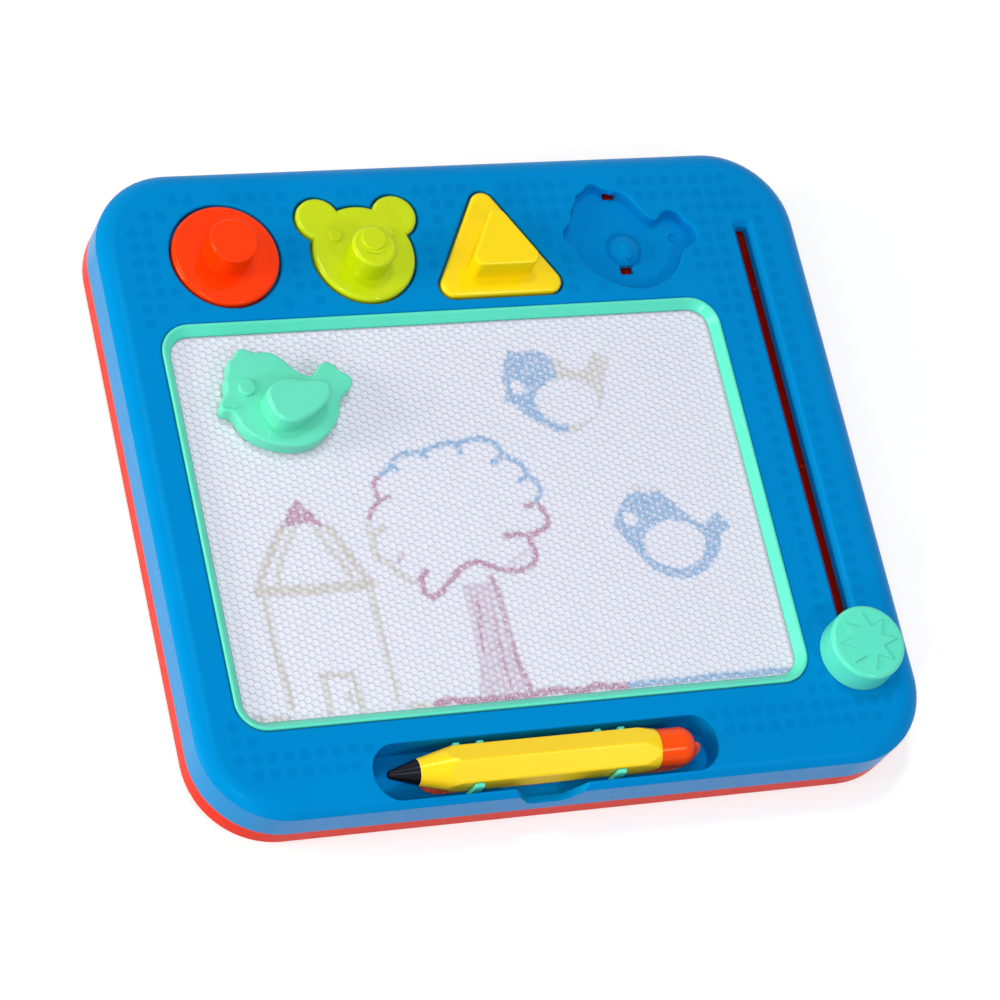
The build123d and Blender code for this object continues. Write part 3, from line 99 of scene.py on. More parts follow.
# The other materials: colours, sizes of their patterns in millimetres, and roughness.
FILM_COLOUR = (0.9, 0.92, 0.95, 1.0)
FILM_ALPHA = 0.06
FILM_CLOUD = 14.0
FILM_ROUGHNESS = (0.16, 0.26)
PAPER_WARM = (238, 237, 247)
PAPER_COOL = (231, 236, 249)
PAPER_CLOUD = 4.2
POWDER_CLOUD = 1.6
POWDER_SPREAD = (0.5, 1.5, 0.32, 0.68)
FLUID_ROUGHNESS = 0.5
# The honeycomb walls' colours paint light and shade: a lit pale top, shaded greyish lilac sides, and a
# darker foot painted as the shade where the wall meets the fluid.
WALL_FOOT_SHADE_COLOUR = (134, 130, 164)
WALL_SIDE_SHADE_COLOUR = (170, 168, 196)
WALL_TOP_LIT_COLOUR = (222, 224, 240)
WALL_STAIN_COLOUR = (196, 190, 212)
WALL_STAIN = 3.0
WALL_STAIN_SHARE = 0.3
WALL_ROUGHNESS = 0.35
STEEL_DARK = (176, 178, 182)
STEEL_LIGHT = (205, 206, 208)
STEEL_CLOUD = 2.0
STEEL_GRAIN = 0.8
STEEL_ROUGHNESS = (0.25, 0.4)
THREAD_DARK = (196, 52, 10)
THREAD_LIGHT = (240, 92, 34)
THREAD_CLOUD = 0.5
THREAD_ROUGHNESS = 0.7
THREAD_SHEEN = 0.3
THREAD_GRAIN = 0.18
THREAD_GRAIN_STRENGTH = 0.5
THREAD_GRAIN_DEPTH = 0.05

# Lamps: name, place and side in metres, power in watts, and colour.
LAMPS = (
    ("left", (-2.0, 0.1, 0.5), 0.9, 32.0, (1.0, 0.98, 0.78)),
    ("front", (0.63, -0.94, 1.25), 0.15, 4.0, (1.0, 1.0, 1.0)),
    ("front_left", (-0.78, -1.28, 0.9), 0.13, 2.8, (1.0, 1.0, 1.0)),
    ("top", (-0.25, 0.8, 2.05), 0.32, 10.0, (1.0, 1.0, 1.0)),
    ("fill", (-0.8, -0.75, 1.8), 0.28, 10.0, (1.0, 1.0, 1.0)),
)
WORLD_COLOUR = (0.93, 0.96, 1.0, 1.0)
WORLD_STRENGTH = 0.36

# Floor, in millimetres. Its opening under the board has half sizes and a corner radius.
FLOOR_LEVEL = -0.15
FLOOR_REACH = 3000.0
FLOOR_OPENING = (156.5, 141.4, 38.0)
FLOOR_CORNER_STEPS = 12
FLOOR_SHADE = 0.7
FLOOR_GLOW = 0.42

# Camera, from the photograph's perspective.
CAMERA_PLACE = (-640.89, -632.74, 1472.47)
CAMERA_RIGHT = (0.9252294, -0.213485, 0.3136474)
CAMERA_UP = (0.0676368, 0.9062418, 0.4173141)
CAMERA_BACK = (-0.3733307, -0.3648971, 0.852921)
CAMERA_LENS = 146.339
CAMERA_SENSOR = 36.0
CAMERA_CLIP = (0.05, 50.0)

# Screen, in millimetres. The walls stand between the fluid and the face film.
SCREEN_LEFT = -139.4
SCREEN_RIGHT = 109.5
SCREEN_FRONT = -105.2
SCREEN_BACK = 71.4
SCREEN_REACH = 0.5
WALL_TOP = 25.56
FLUID_LEVEL = 25.2
FLUID_RIM = 0.035
CELL_PITCH = 3.21
WALL_WIDTH = 0.22
WALL_FOOT_WIDTH = 0.3
WALL_FOOT_DEPTH = 0.05
WALL_SHORTEST = 0.3
CELL_SMALLEST = 0.5
CELL_SEED = 7
CELL_SIDES = 6
WALL_SIDEWAYS_SHARE = 0.55
CELL_JITTER = 0.13
# The rings of a cell's fluid: their share of the cell's size, and the weight of the drawn colour there,
# strongest near the walls and palest in the middle.
CELL_RINGS = ((0.94, 1.3), (0.6, 1.0), (0.3, 0.55))
CELL_MIDDLE_POWDER = 0.3
# The hand's tremor in the drawn lines, and the fuzz at their edges.
TREMOR_SCALE = 0.45
TREMOR_PLANE = 3.0
TREMOR = 0.7
TREMOR_SEED = 7
FUZZ_REACH = 0.9
FUZZ_WIDTH = 1.1

# Dots of the deck, in millimetres.
DECK_LEVEL = 29.5
DOT_PITCH_X = 6.85
DOT_PITCH_Y = 7.15
DOT_START_X = -151.1
DOT_START_Y = -126.0
DOT_COLUMNS = 45
DOT_ROWS = 37
DOT_RADIUS = 2.4
DOT_EDGES = 20
DOT_PROFILE = ((1.0, 0.01), (0.9, 0.022), (0.6, 0.02), (0.3, 0.016))
DOT_MIDDLE = 0.014
DOT_MARGIN = 0.9
DOT_TESTS = 8
DECK_FLATNESS = 0.02
DECK_HALF_LENGTH = 148.0
DECK_HALF_DEPTH = 132.8
DECK_CORNER = 26.0

# Cord, in millimetres. The route is the one of the CAD tube, drawn in closer behind the cap.
CORD_ROUTE = (
    (51.4, -129.6, 25.6), (54.2, -129.6, 25.3), (54.6, -130.6, 20.8), (52.0, -133.2, 16.7),
    (45.8, -135.0, 16.6), (34.5, -135.3, 16.6), (11.0, -134.8, 16.6), (-16.0, -135.3, 16.6),
    (-38.0, -134.9, 16.6), (-53.0, -135.3, 16.6), (-63.7, -135.2, 16.6), (-67.5, -129.5, 16.6),
    (-63.9, -123.7, 16.6), (-53.0, -123.5, 16.6), (-36.0, -123.9, 16.6), (-20.0, -123.5, 16.6),
    (-10.5, -123.8, 16.6), (-3.0, -123.6, 16.6), (-3.0, -123.6, 9.9),
)
CORD_CORE_RADIUS = 1.22
STRAND_RADIUS = 0.3
STRAND_LAY = 1.17
STRAND_WEAVE = 0.06
STRANDS = 8
BRAID_PITCH = 11.0
BRAID_STEP = 0.55
CORE_EDGES = 8
STRAND_EDGES = 5
SPLINE_STEPS = 24


def linear(colour):
    """Linear values of an sRGB colour given in 0 to 255."""
    shares = [c / 255 for c in colour]
    return [s / 12.92 if s <= 0.04045 else ((s + 0.055) / 1.055) ** 2.4 for s in shares]


# Materials


def new_material(name):
    """An empty node material with its output."""
    material = bpy.data.materials.new(name)
    material.use_nodes = True
    nodes = material.node_tree.nodes
    nodes.clear()
    output = nodes.new("ShaderNodeOutputMaterial")
    shader = nodes.new("ShaderNodeBsdfPrincipled")
    material.node_tree.links.new(shader.outputs["BSDF"], output.inputs["Surface"])
    return material, shader


def add_noise(material, scale, detail=2.0):
    """A noise texture in object coordinates, with its size in millimetres."""
    nodes = material.node_tree.nodes
    links = material.node_tree.links
    place = nodes.new("ShaderNodeTexCoord")
    pattern = nodes.new("ShaderNodeTexNoise")
    pattern.inputs["Scale"].default_value = 1 / (scale * MM)
    pattern.inputs["Detail"].default_value = detail
    links.new(place.outputs["Object"], pattern.inputs["Vector"])
    return pattern.outputs["Fac"]


def add_range(material, value, low, high, start=0.3, end=0.7):
    """Maps a pattern's middle part to the range from low to high."""
    node = material.node_tree.nodes.new("ShaderNodeMapRange")
    node.inputs["From Min"].default_value = start
    node.inputs["From Max"].default_value = end
    node.inputs["To Min"].default_value = low
    node.inputs["To Max"].default_value = high
    material.node_tree.links.new(value, node.inputs["Value"])
    return node.outputs["Result"]


def add_mix(material, share, first, second):
    """A mix of two colours by a share."""
    nodes = material.node_tree.nodes
    links = material.node_tree.links
    node = nodes.new("ShaderNodeMix")
    node.data_type = "RGBA"
    links.new(share, node.inputs["Factor"])
    for socket, colour in (("A", first), ("B", second)):
        target = [s for s in node.inputs if s.name == socket and s.type == "RGBA"][0]
        if isinstance(colour, bpy.types.NodeSocket):
            links.new(colour, target)
        else:
            target.default_value = (*colour, 1.0)
    return [s for s in node.outputs if s.type == "RGBA"][0]


def add_soft_edges(material, radius):
    """Normals rounded over the edges of the upper side, by a radius in millimetres."""
    nodes = material.node_tree.nodes
    links = material.node_tree.links
    bevel = nodes.new("ShaderNodeBevel")
    bevel.samples = SOFT_EDGE_SAMPLES
    bevel.inputs["Radius"].default_value = radius * MM
    place = nodes.new("ShaderNodeTexCoord")
    parts = nodes.new("ShaderNodeSeparateXYZ")
    links.new(place.outputs["Object"], parts.inputs["Vector"])
    share = add_range(material, parts.outputs["Z"], 0.0, 1.0, *(z * MM for z in SOFT_EDGE_LEVELS))
    plain = nodes.new("ShaderNodeNewGeometry")
    mix = nodes.new("ShaderNodeMix")
    mix.data_type = "VECTOR"
    links.new(share, mix.inputs["Factor"])
    ends = [s for s in mix.inputs if s.type == "VECTOR" and s.name in ("A", "B")]
    links.new(plain.outputs["Normal"], ends[0])
    links.new(bevel.outputs["Normal"], ends[1])
    return [s for s in mix.outputs if s.type == "VECTOR"][0]


def add_bump(material, shader, height, strength, depth, below=None):
    """A bump in millimetres of depth on the shader, on top of rounded edges if given."""
    nodes = material.node_tree.nodes
    links = material.node_tree.links
    bump = nodes.new("ShaderNodeBump")
    bump.inputs["Strength"].default_value = strength
    bump.inputs["Distance"].default_value = depth * MM
    links.new(height, bump.inputs["Height"])
    if below:
        links.new(below, bump.inputs["Normal"])
    links.new(bump.outputs["Normal"], shader.inputs["Normal"])


def moulded(name, colour, roughness, grain, tint, gleam, level, soft, edge):
    """Moulded plastic: slight uneven colour, uneven gloss, the mould's fine grain."""
    material, shader = new_material(name)
    base = linear(colour)
    darker = [c * (1 - tint) for c in base]
    lighter = [min(1.0, c * (1 + tint)) for c in base]
    cloud = add_noise(material, CLOUD_SIZE)
    shade = add_mix(material, add_range(material, cloud, 0.0, 1.0), darker, lighter)
    material.node_tree.links.new(shade, shader.inputs["Base Color"])
    uneven = add_noise(material, GLOSS_SIZE)
    gloss = add_range(material, uneven, roughness * (1 - GLOSS_SPREAD), roughness * (1 + GLOSS_SPREAD))
    material.node_tree.links.new(gloss, shader.inputs["Roughness"])
    shader.inputs["Specular IOR Level"].default_value = level
    shader.inputs["Specular Tint"].default_value = (*linear(gleam), 1.0)
    if soft:
        shader.inputs["Subsurface Weight"].default_value = soft
        shader.inputs["Subsurface Radius"].default_value = (1.0, 1.0, 1.0)
        shader.inputs["Subsurface Scale"].default_value = SOFT_DEPTH * MM
    rounded = add_soft_edges(material, edge) if edge else None
    if grain:
        fine = add_noise(material, GRAIN_SIZE, detail=1.0)
        add_bump(material, shader, fine, grain, GRAIN_DEPTH, rounded)
    elif rounded:
        material.node_tree.links.new(rounded, shader.inputs["Normal"])
    return material


def clear_film():
    """Clear glossy film, so thin that what lies below keeps its place."""
    material, shader = new_material("clear_film")
    shader.inputs["Base Color"].default_value = FILM_COLOUR
    shader.inputs["Alpha"].default_value = FILM_ALPHA
    gloss = add_range(material, add_noise(material, FILM_CLOUD), *FILM_ROUGHNESS)
    material.node_tree.links.new(gloss, shader.inputs["Roughness"])
    return material


def ink_sheet():
    """White drawing fluid that carries the doodle's colours from the mesh."""
    material, shader = new_material("ink_sheet")
    nodes = material.node_tree.nodes
    links = material.node_tree.links
    ink = nodes.new("ShaderNodeAttribute")
    ink.attribute_name = "ink"
    share = nodes.new("ShaderNodeAttribute")
    share.attribute_name = "share"
    cloud = add_range(material, add_noise(material, PAPER_CLOUD, detail=1.0), 0.0, 1.0)
    paper = add_mix(material, cloud, linear(PAPER_WARM), linear(PAPER_COOL))
    mottle = add_range(material, add_noise(material, POWDER_CLOUD, detail=3.0), *POWDER_SPREAD)
    amount = nodes.new("ShaderNodeMath")
    amount.operation = "MULTIPLY"
    amount.use_clamp = True
    links.new(share.outputs["Fac"], amount.inputs[0])
    links.new(mottle, amount.inputs[1])
    drawn = add_mix(material, amount.outputs["Value"], paper, ink.outputs["Color"])
    links.new(drawn, shader.inputs["Base Color"])
    shader.inputs["Roughness"].default_value = FLUID_ROUGHNESS
    return material


def cell_wall():
    """Walls of the honeycomb, with painted light and shade: lit pale tops, and greyish lilac sides in
    painted shade that darkens towards the foot.
    """
    material, shader = new_material("cell_wall")
    nodes = material.node_tree.nodes
    links = material.node_tree.links
    place = nodes.new("ShaderNodeTexCoord")
    parts = nodes.new("ShaderNodeSeparateXYZ")
    links.new(place.outputs["Object"], parts.inputs["Vector"])
    facing = nodes.new("ShaderNodeSeparateXYZ")
    links.new(place.outputs["Normal"], facing.inputs["Vector"])
    level = add_range(material, parts.outputs["Z"], 0.0, 1.0, FLUID_LEVEL * MM, WALL_TOP * MM)
    # Painted shade: the sides darken from the top of the wall down to its foot.
    side = add_mix(material, level, linear(WALL_FOOT_SHADE_COLOUR), linear(WALL_SIDE_SHADE_COLOUR))
    # Painted light: faces that look up get the lit pale top colour.
    lit_top_share = add_range(material, facing.outputs["Z"], 0.0, 1.0, 0.5, 0.8)
    shade = add_mix(material, lit_top_share, side, linear(WALL_TOP_LIT_COLOUR))
    stain = add_range(material, add_noise(material, WALL_STAIN), 0.0, WALL_STAIN_SHARE)
    stained = add_mix(material, stain, shade, linear(WALL_STAIN_COLOUR))
    links.new(stained, shader.inputs["Base Color"])
    shader.inputs["Roughness"].default_value = WALL_ROUGHNESS
    return material


def steel():
    """Plated screw steel."""
    material, shader = new_material("screw_steel")
    shader.inputs["Metallic"].default_value = 1.0
    shade = add_mix(material, add_noise(material, STEEL_CLOUD), linear(STEEL_DARK), linear(STEEL_LIGHT))
    material.node_tree.links.new(shade, shader.inputs["Base Color"])
    gloss = add_range(material, add_noise(material, STEEL_GRAIN), *STEEL_ROUGHNESS)
    material.node_tree.links.new(gloss, shader.inputs["Roughness"])
    return material


def braid_material():
    """Woven synthetic thread, orange red."""
    material, shader = new_material("braid")
    fibre = add_range(material, add_noise(material, THREAD_CLOUD, detail=3.0), 0.0, 1.0)
    shade = add_mix(material, fibre, linear(THREAD_DARK), linear(THREAD_LIGHT))
    material.node_tree.links.new(shade, shader.inputs["Base Color"])
    shader.inputs["Roughness"].default_value = THREAD_ROUGHNESS
    shader.inputs["Sheen Weight"].default_value = THREAD_SHEEN
    add_bump(material, shader, add_noise(material, THREAD_GRAIN), THREAD_GRAIN_STRENGTH, THREAD_GRAIN_DEPTH)
    return material


def dress(nodes, material, *names):
    """Gives CAD nodes a material in their slots."""
    for name in names:
        slots = nodes[name].material_slots
        if slots:
            for slot in slots:
                slot.material = material
        else:
            nodes[name].data.materials.append(material)


def dress_nodes(nodes, braid):
    """Gives every CAD node its finish, and returns the plastics by name."""
    plastics = {}
    for name, *look, owners in PLASTICS:
        plastics[name] = moulded(name, *look)
        dress(nodes, plastics[name], *owners)
    dress(nodes, clear_film(), "screen_face_film")
    dress(nodes, braid, "pen_tether", "tether_cap_knot", "tether_anchor_knot")
    dress(nodes, steel(), "case_screws", "knob_screw")
    return plastics


# Meshes


def new_mesh(name, points, faces, material, smooth=True):
    """A mesh object from points in millimetres."""
    mesh = bpy.data.meshes.new(name)
    mesh.from_pydata([(x * MM, y * MM, z * MM) for x, y, z in points], [], faces)
    mesh.materials.append(material)
    mesh.polygons.foreach_set("use_smooth", [smooth] * len(mesh.polygons))
    thing = bpy.data.objects.new(name, mesh)
    bpy.context.scene.collection.objects.link(thing)
    return thing


def join_rings(faces, first, rings, edges):
    """Adds the faces between rings of points in a row, and returns the last ring's first point."""
    for ring in range(rings - 1):
        here = first + ring * edges
        for k in range(edges):
            follow = (k + 1) % edges
            faces.append((here + k, here + follow, here + edges + follow, here + edges + k))
    return first + (rings - 1) * edges


def inside_round_box(x, y, left, right, front, back, corner):
    """True inside a box with rounded corners."""
    over_x = max(left + corner - x, x - right + corner, 0.0)
    over_y = max(front + corner - y, y - back + corner, 0.0)
    return math.hypot(over_x, over_y) < corner and left < x < right and front < y < back


# Doodle

# Colours of the drawn lines.
BLUE = (104, 166, 218)
MAUVE = (180, 104, 146)
SAND = (202, 193, 176)
LILAC = (196, 158, 186)

# Each stroke: colour, width, strength, points in millimetres.
STROKES = (
    (MAUVE, 1.4, 0.9, ((-66.5, -17.5), (-65.5, -15), (-63.0, -12.3), (-60, -10), (-56, -8.5))),
    (MAUVE, 1.5, 0.9, ((-60, -10), (-61, -7), (-61.5, -3), (-60.5, -1), (-58, 1))),
    (BLUE, 1.6, 0.9, ((-58, 1), (-55, 3.5), (-51, 5), (-50, 3.5))),
    (BLUE, 1.6, 0.9, ((-53, 4.5), (-50, 8), (-46, 10.5), (-42, 10.6), (-38, 10.3), (-35.8, 8.3))),
    (BLUE, 1.6, 1.0, ((-38, 10.3), (-35.1, 11.5), (-30.2, 12.9), (-24.8, 14.3), (-20.5, 12.8),
                      (-20.1, 8.7))),
    (BLUE, 1.6, 1.0, ((-22, 13.6), (-16.7, 14.4), (-12.5, 15.2), (-9.6, 15.1), (-6.4, 13.9),
                      (-3.9, 12.6), (-2.3, 9.2))),
    (BLUE, 1.6, 1.0, ((-2.3, 9.2), (-1.6, 7.4), (-4.5, 4.6), (-6.8, 3.6))),
    (BLUE, 1.6, 1.0, ((-1.6, 7.4), (1.3, 4.8), (4.4, 3.4), (6.7, 0.8), (7.2, -2.1), (5.4, -5.0),
                      (3.5, -5.4))),
    (BLUE, 1.6, 0.9, ((6.2, -4.0), (9.5, -4.7), (11.1, -7.8), (12.1, -10.8), (9.8, -13.5), (8.8, -15.3))),
    (MAUVE, 1.7, 1.0, ((3.5, -17.2), (6.0, -16.6))),
    (MAUVE, 1.7, 1.0, ((9, -16.5), (11, -20.5), (12.5, -23), (11, -27), (8, -28.5), (5, -30),
                       (1, -30.5), (-3, -29.5), (-9, -30))),
    (MAUVE, 1.7, 1.0, ((1, -30.5), (2, -35), (2.7, -39), (1.5, -42.5), (-2, -45), (-6, -46),
                       (-12, -45.5), (-16, -44))),
    (MAUVE, 1.8, 1.0, ((-16, -44), (-20, -42), (-23.5, -40.5), (-29, -41.5), (-33, -44), (-38, -48.5),
                       (-42, -52.5))),
    (MAUVE, 1.8, 1.0, ((-42, -52.5), (-46.5, -55), (-50, -52), (-50, -48), (-49.5, -45), (-47, -43))),
    (MAUVE, 1.2, 0.55, ((-54.4, -46.7), (-51.5, -47.7), (-49.4, -47.1))),
    (SAND, 2.0, 0.75, ((-54.4, -46.7), (-57.5, -44.5), (-59.5, -41.5), (-62.5, -38.5))),
    (MAUVE, 1.2, 0.6, ((-57.9, -37.6), (-55.6, -34.5))),
    (SAND, 2.0, 0.7, ((-62, -38.0), (-66, -36), (-67.5, -32), (-67, -28), (-66, -24.5), (-61, -22))),
    (SAND, 1.6, 0.5, ((-68, -24.5), (-67.5, -20.5), (-66.5, -17.8))),
    (SAND, 2.8, 0.8, ((-105, -19), (-112, -30), (-118, -40), (-120.5, -47))),
    (SAND, 2.0, 0.65, ((-100, -20), (-107, -31), (-111, -40), (-111, -44))),
    (SAND, 2.8, 0.8, ((-85, -20), (-80, -30), (-75.5, -40), (-72.5, -45))),
    (SAND, 2.0, 0.65, ((-91, -20), (-86, -30), (-82, -37), (-80, -42))),
    (SAND, 4.2, 0.75, ((-120, -46.0), (-108, -46.8), (-96, -47.0), (-84, -47.0), (-72, -46.5))),
    (SAND, 2.2, 0.7, ((-118.5, -49), (-118.5, -60), (-118.3, -75), (-117, -84), (-116.5, -97))),
    (SAND, 2.0, 0.6, ((-73, -46), (-72.5, -57), (-72.2, -70), (-71.8, -80), (-70.8, -92), (-71, -98))),
    (SAND, 2.0, 0.75, ((-102, -84.5), (-95, -84.8), (-88, -85.5), (-87.5, -92), (-87, -101))),
    (SAND, 1.8, 0.7, ((-100.5, -85), (-100.8, -92), (-101, -100))),
    (SAND, 1.6, 0.7, ((-91, -93.5), (-92.5, -95.5), (-90.5, -97))),
    (SAND, 2.6, 0.7, ((-134, -100.5), (-130, -101))),
    (SAND, 2.6, 0.7, ((-125, -101), (-119, -101.5))),
    (SAND, 2.6, 0.6, ((-66, -101), (-60, -101.5))),
    (MAUVE, 2.6, 0.95, ((-55, -101.2), (-50, -99.8), (-44, -101.2), (-30, -101.4), (-14, -101),
                        (-2, -99.8), (6, -101.3))),
    (MAUVE, 2.6, 0.95, ((6, -101.3), (12, -100.8), (16, -99.4), (22, -100.6), (29, -101))),
    (BLUE, 2.4, 0.9, ((30, -100.8), (42, -100.6), (55, -100.9), (68, -100.4), (82, -100.8),
                      (95, -100.5), (104, -100.8))),
    (MAUVE, 1.5, 0.5, ((-31.7, -51), (-30.9, -61.5), (-31.1, -71), (-31.7, -80.5), (-32.7, -90),
                       (-34.6, -98.5))),
    (MAUVE, 1.6, 0.75, ((-27.9, -55.7), (-27.8, -61.7), (-29.2, -71.2), (-30.2, -80))),
    (MAUVE, 1.6, 0.65, ((-22.1, -66), (-22.5, -73.4), (-22.2, -83.8), (-22, -91.7), (-21.2, -97.5))),
    (MAUVE, 2.0, 0.7, ((-19.1, -48), (-17.8, -54.5), (-17.3, -64.2), (-17.1, -73.8), (-16.6, -81.9))),
    (MAUVE, 2.0, 0.85, ((-16.6, -81.9), (-15.3, -89.9), (-13.8, -97.2), (-12.8, -101.3))),
    (LILAC, 1.6, 0.4, ((-9.0, -42.3), (-4.5, -40.2), (-1.6, -38.0))),
)

# Each fill: colour, strength, outline in millimetres.
FILLS = (
    (MAUVE, 0.85, ((-96.3, -6.5), (-100.5, -11.5), (-103.5, -16.5), (-105, -19), (-96, -17.5),
                   (-86.5, -19.8), (-90, -14))),
    (LILAC, 0.5, ((-32.5, -50), (-32, -75), (-33, -90), (-35, -101), (-12, -101), (-16, -90),
                  (-18, -80), (-19.5, -70), (-19.5, -50))),
)

# The prints of the bird stamp: outline, eye, belly, and from where the powder is sand coloured.
PRINT_ONE = (
    (4.8, 31.5), (6.5, 36), (6.5, 42), (8, 47), (10, 52), (13, 55.5), (17, 53.5), (22, 55), (26, 53.5),
    (30, 51), (33, 49.5), (37, 45.5), (42, 43.5), (46, 45), (49, 49), (50.5, 52), (54, 50.5), (58, 49),
    (56, 45), (54, 42), (52.5, 38), (51.5, 33), (49.5, 28), (46, 23), (41, 19), (36, 15.5), (30, 15),
    (25, 16), (20, 19.5), (15, 22.5), (11.5, 27), (9, 30),
)
PRINT_TWO = (
    (40.3, -30), (43, -24.5), (46, -19.5), (50, -15.5), (55, -14.5), (60, -15), (66, -15), (70, -20),
    (74, -25), (78, -29.5), (82, -31.5), (86, -28), (89.5, -26), (92, -30), (94.5, -33.5), (91, -35),
    (88, -37), (87, -42), (84, -47), (79, -51.5), (73, -54.5), (66, -55.5), (60, -54), (54, -50),
    (49, -44.5), (45.5, -37.5), (43, -33),
)
PRINTS = (
    (PRINT_ONE, (12.5, 37.5, 3.4), (33.5, 29.5, 14.5, 10.8), 31.0),
    (PRINT_TWO, (49.0, -26.5, 3.2), (66.5, -39.5, 14.0, 10.9), 200.0),
)
CRESTS = ((56.0, -12.5, 3.5, 1.8), (63.5, -14.0, 2.5, 1.2))


def near_stroke(x, y, points):
    """Distance of each place to a stroke."""
    best = np.full(x.shape, 1e9)
    for (ax, ay), (bx, by) in zip(points, points[1:]):
        dx, dy = bx - ax, by - ay
        along = np.clip(((x - ax) * dx + (y - ay) * dy) / (dx * dx + dy * dy), 0, 1)
        best = np.minimum(best, np.hypot(x - ax - along * dx, y - ay - along * dy))
    return best


def in_outline(x, y, outline):
    """True for each place inside an outline."""
    inside = np.zeros(x.shape, bool)
    for (ax, ay), (bx, by) in zip(outline, outline[1:] + outline[:1]):
        crosses = (ay > y) != (by > y)
        level = by - ay if by != ay else 1e-9
        inside ^= crosses & (x < (bx - ax) * (y - ay) / level + ax)
    return inside


def soft_edge(distance, half):
    """1 inside a stroke, falling to 0 over its fuzzy edge."""
    return np.clip((half + FUZZ_REACH - distance) / FUZZ_WIDTH, 0, 1)


def lay(ink, share, colour, amount):
    """Lays powder of a colour where there is more of it than before."""
    more = amount > share
    ink[more] = linear(colour)
    share[more] = amount[more]


def draw_doodle(x, y):
    """Colour and amount of powder at each place of the screen."""
    ink = np.tile(linear(BLUE), (len(x), 1))
    share = np.zeros(len(x))
    for colour, strength, outline in FILLS:
        lay(ink, share, colour, np.where(in_outline(x, y, outline), strength, 0.0))
    for outline, eye, belly, change in PRINTS:
        body = in_outline(x, y, outline)
        body &= np.hypot(x - eye[0], y - eye[1]) > eye[2]
        body &= np.hypot((x - belly[0]) / belly[2], (y - belly[1]) / belly[3]) > 1
        lay(ink, share, BLUE, np.where(body & (x < change), 0.8, 0.0))
        lay(ink, share, SAND, np.where(body & (x >= change), 0.55, 0.0))
    for cx, cy, rx, ry in CRESTS:
        lay(ink, share, SAND, np.where(np.hypot((x - cx) / rx, (y - cy) / ry) < 1, 0.35, 0.0))
    for colour, width, strength, points in STROKES:
        lay(ink, share, colour, strength * soft_edge(near_stroke(x, y, points), width / 2))
    return ink, share


# Screen


def cell_rings():
    """The honeycomb's cells as rings of corners, each corner moved a little, and the walls between them."""
    side = CELL_PITCH / math.sqrt(3)
    column = 1.5 * side
    left, right = SCREEN_LEFT - SCREEN_REACH, SCREEN_RIGHT + SCREEN_REACH
    front, back = SCREEN_FRONT - SCREEN_REACH, SCREEN_BACK + SCREEN_REACH
    random.seed(CELL_SEED)
    corners = {}
    cells = []
    walls = set()
    for c in range(-1, int((right - left) / column) + 2):
        for r in range(-1, int((back - front) / CELL_PITCH) + 3):
            x = left + c * column
            y = front + (r - 0.5 * (c % 2)) * CELL_PITCH
            ring = []
            for k in range(CELL_SIDES):
                angle = 2 * math.pi / CELL_SIDES * k
                px, py = x + side * math.cos(angle), y + side * math.sin(angle)
                key = (round((px - left) / side * 2), round((py - front) / CELL_PITCH * 2))
                if key not in corners:
                    px += random.uniform(-1, 1) * CELL_JITTER
                    py += random.uniform(-1, 1) * CELL_JITTER
                    corners[key] = (min(max(px, left), right), min(max(py, front), back))
                ring.append(key)
            cells.append([corners[key] for key in ring])
            walls.update(tuple(sorted(pair)) for pair in zip(ring, ring[1:] + ring[:1]))
    return cells, [(corners[a], corners[b]) for a, b in sorted(walls)]


def cell_area(ring):
    """Area of a cell."""
    return sum(ax * by - bx * ay for (ax, ay), (bx, by) in zip(ring, ring[1:] + ring[:1])) / 2


def fluid_cells(cells, material):
    """The drawing fluid, cell by cell: a shallow dish whose drawn colour is strongest along the walls and
    palest in the middle.
    """
    points, faces, powder = [], [], []
    for ring in cells:
        if cell_area(ring) < CELL_SMALLEST:
            continue
        mx = sum(p[0] for p in ring) / CELL_SIDES
        my = sum(p[1] for p in ring) / CELL_SIDES
        first = len(points)
        for share, amount in CELL_RINGS:
            for x, y in ring:
                rise = FLUID_RIM * (2 * share * share - 1)
                points.append((mx + (x - mx) * share, my + (y - my) * share, FLUID_LEVEL + rise))
                powder.append(amount)
        points.append((mx, my, FLUID_LEVEL - FLUID_RIM))
        powder.append(CELL_MIDDLE_POWDER)
        last = join_rings(faces, first, len(CELL_RINGS), CELL_SIDES)
        faces.extend((last + k, last + (k + 1) % CELL_SIDES, last + CELL_SIDES) for k in range(CELL_SIDES))
    sheet = new_mesh("drawing_fluid", points, faces, material)
    x = np.array([p[0] for p in points])
    y = np.array([p[1] for p in points])
    noise.seed_set(TREMOR_SEED)
    places = [Vector((a, b, TREMOR_PLANE)) * TREMOR_SCALE for a, b in zip(x, y)]
    shift = TREMOR * np.array([noise.noise_vector(place) for place in places])
    ink, share = draw_doodle(x + shift[:, 0], y + shift[:, 1])
    colours = sheet.data.attributes.new("ink", "FLOAT_COLOR", "POINT")
    colours.data.foreach_set("color", np.column_stack([ink, np.ones(len(x))]).ravel())
    amounts = sheet.data.attributes.new("share", "FLOAT", "POINT")
    amounts.data.foreach_set("value", share * np.array(powder))
    return sheet


def honeycomb_walls(walls, material):
    """The walls between the cells, narrower at the top and where they run towards the back."""
    points, faces = [], []
    for (ax, ay), (bx, by) in walls:
        length = math.hypot(bx - ax, by - ay)
        if length < WALL_SHORTEST:
            continue
        nx, ny = (ay - by) / length, (bx - ax) / length
        share = WALL_SIDEWAYS_SHARE + (1 - WALL_SIDEWAYS_SHARE) * ny * ny
        first = len(points)
        for width, z in ((WALL_FOOT_WIDTH, FLUID_LEVEL - WALL_FOOT_DEPTH), (WALL_WIDTH, WALL_TOP)):
            half = width * share / 2
            for x, y in ((ax, ay), (bx, by)):
                points.append((x + nx * half, y + ny * half, z))
                points.append((x - nx * half, y - ny * half, z))
        for face in ((4, 5, 7, 6), (0, 4, 6, 2), (1, 3, 7, 5)):
            faces.append(tuple(first + k for k in face))
    return new_mesh("honeycomb_walls", points, faces, material, smooth=False)


# Deck dots


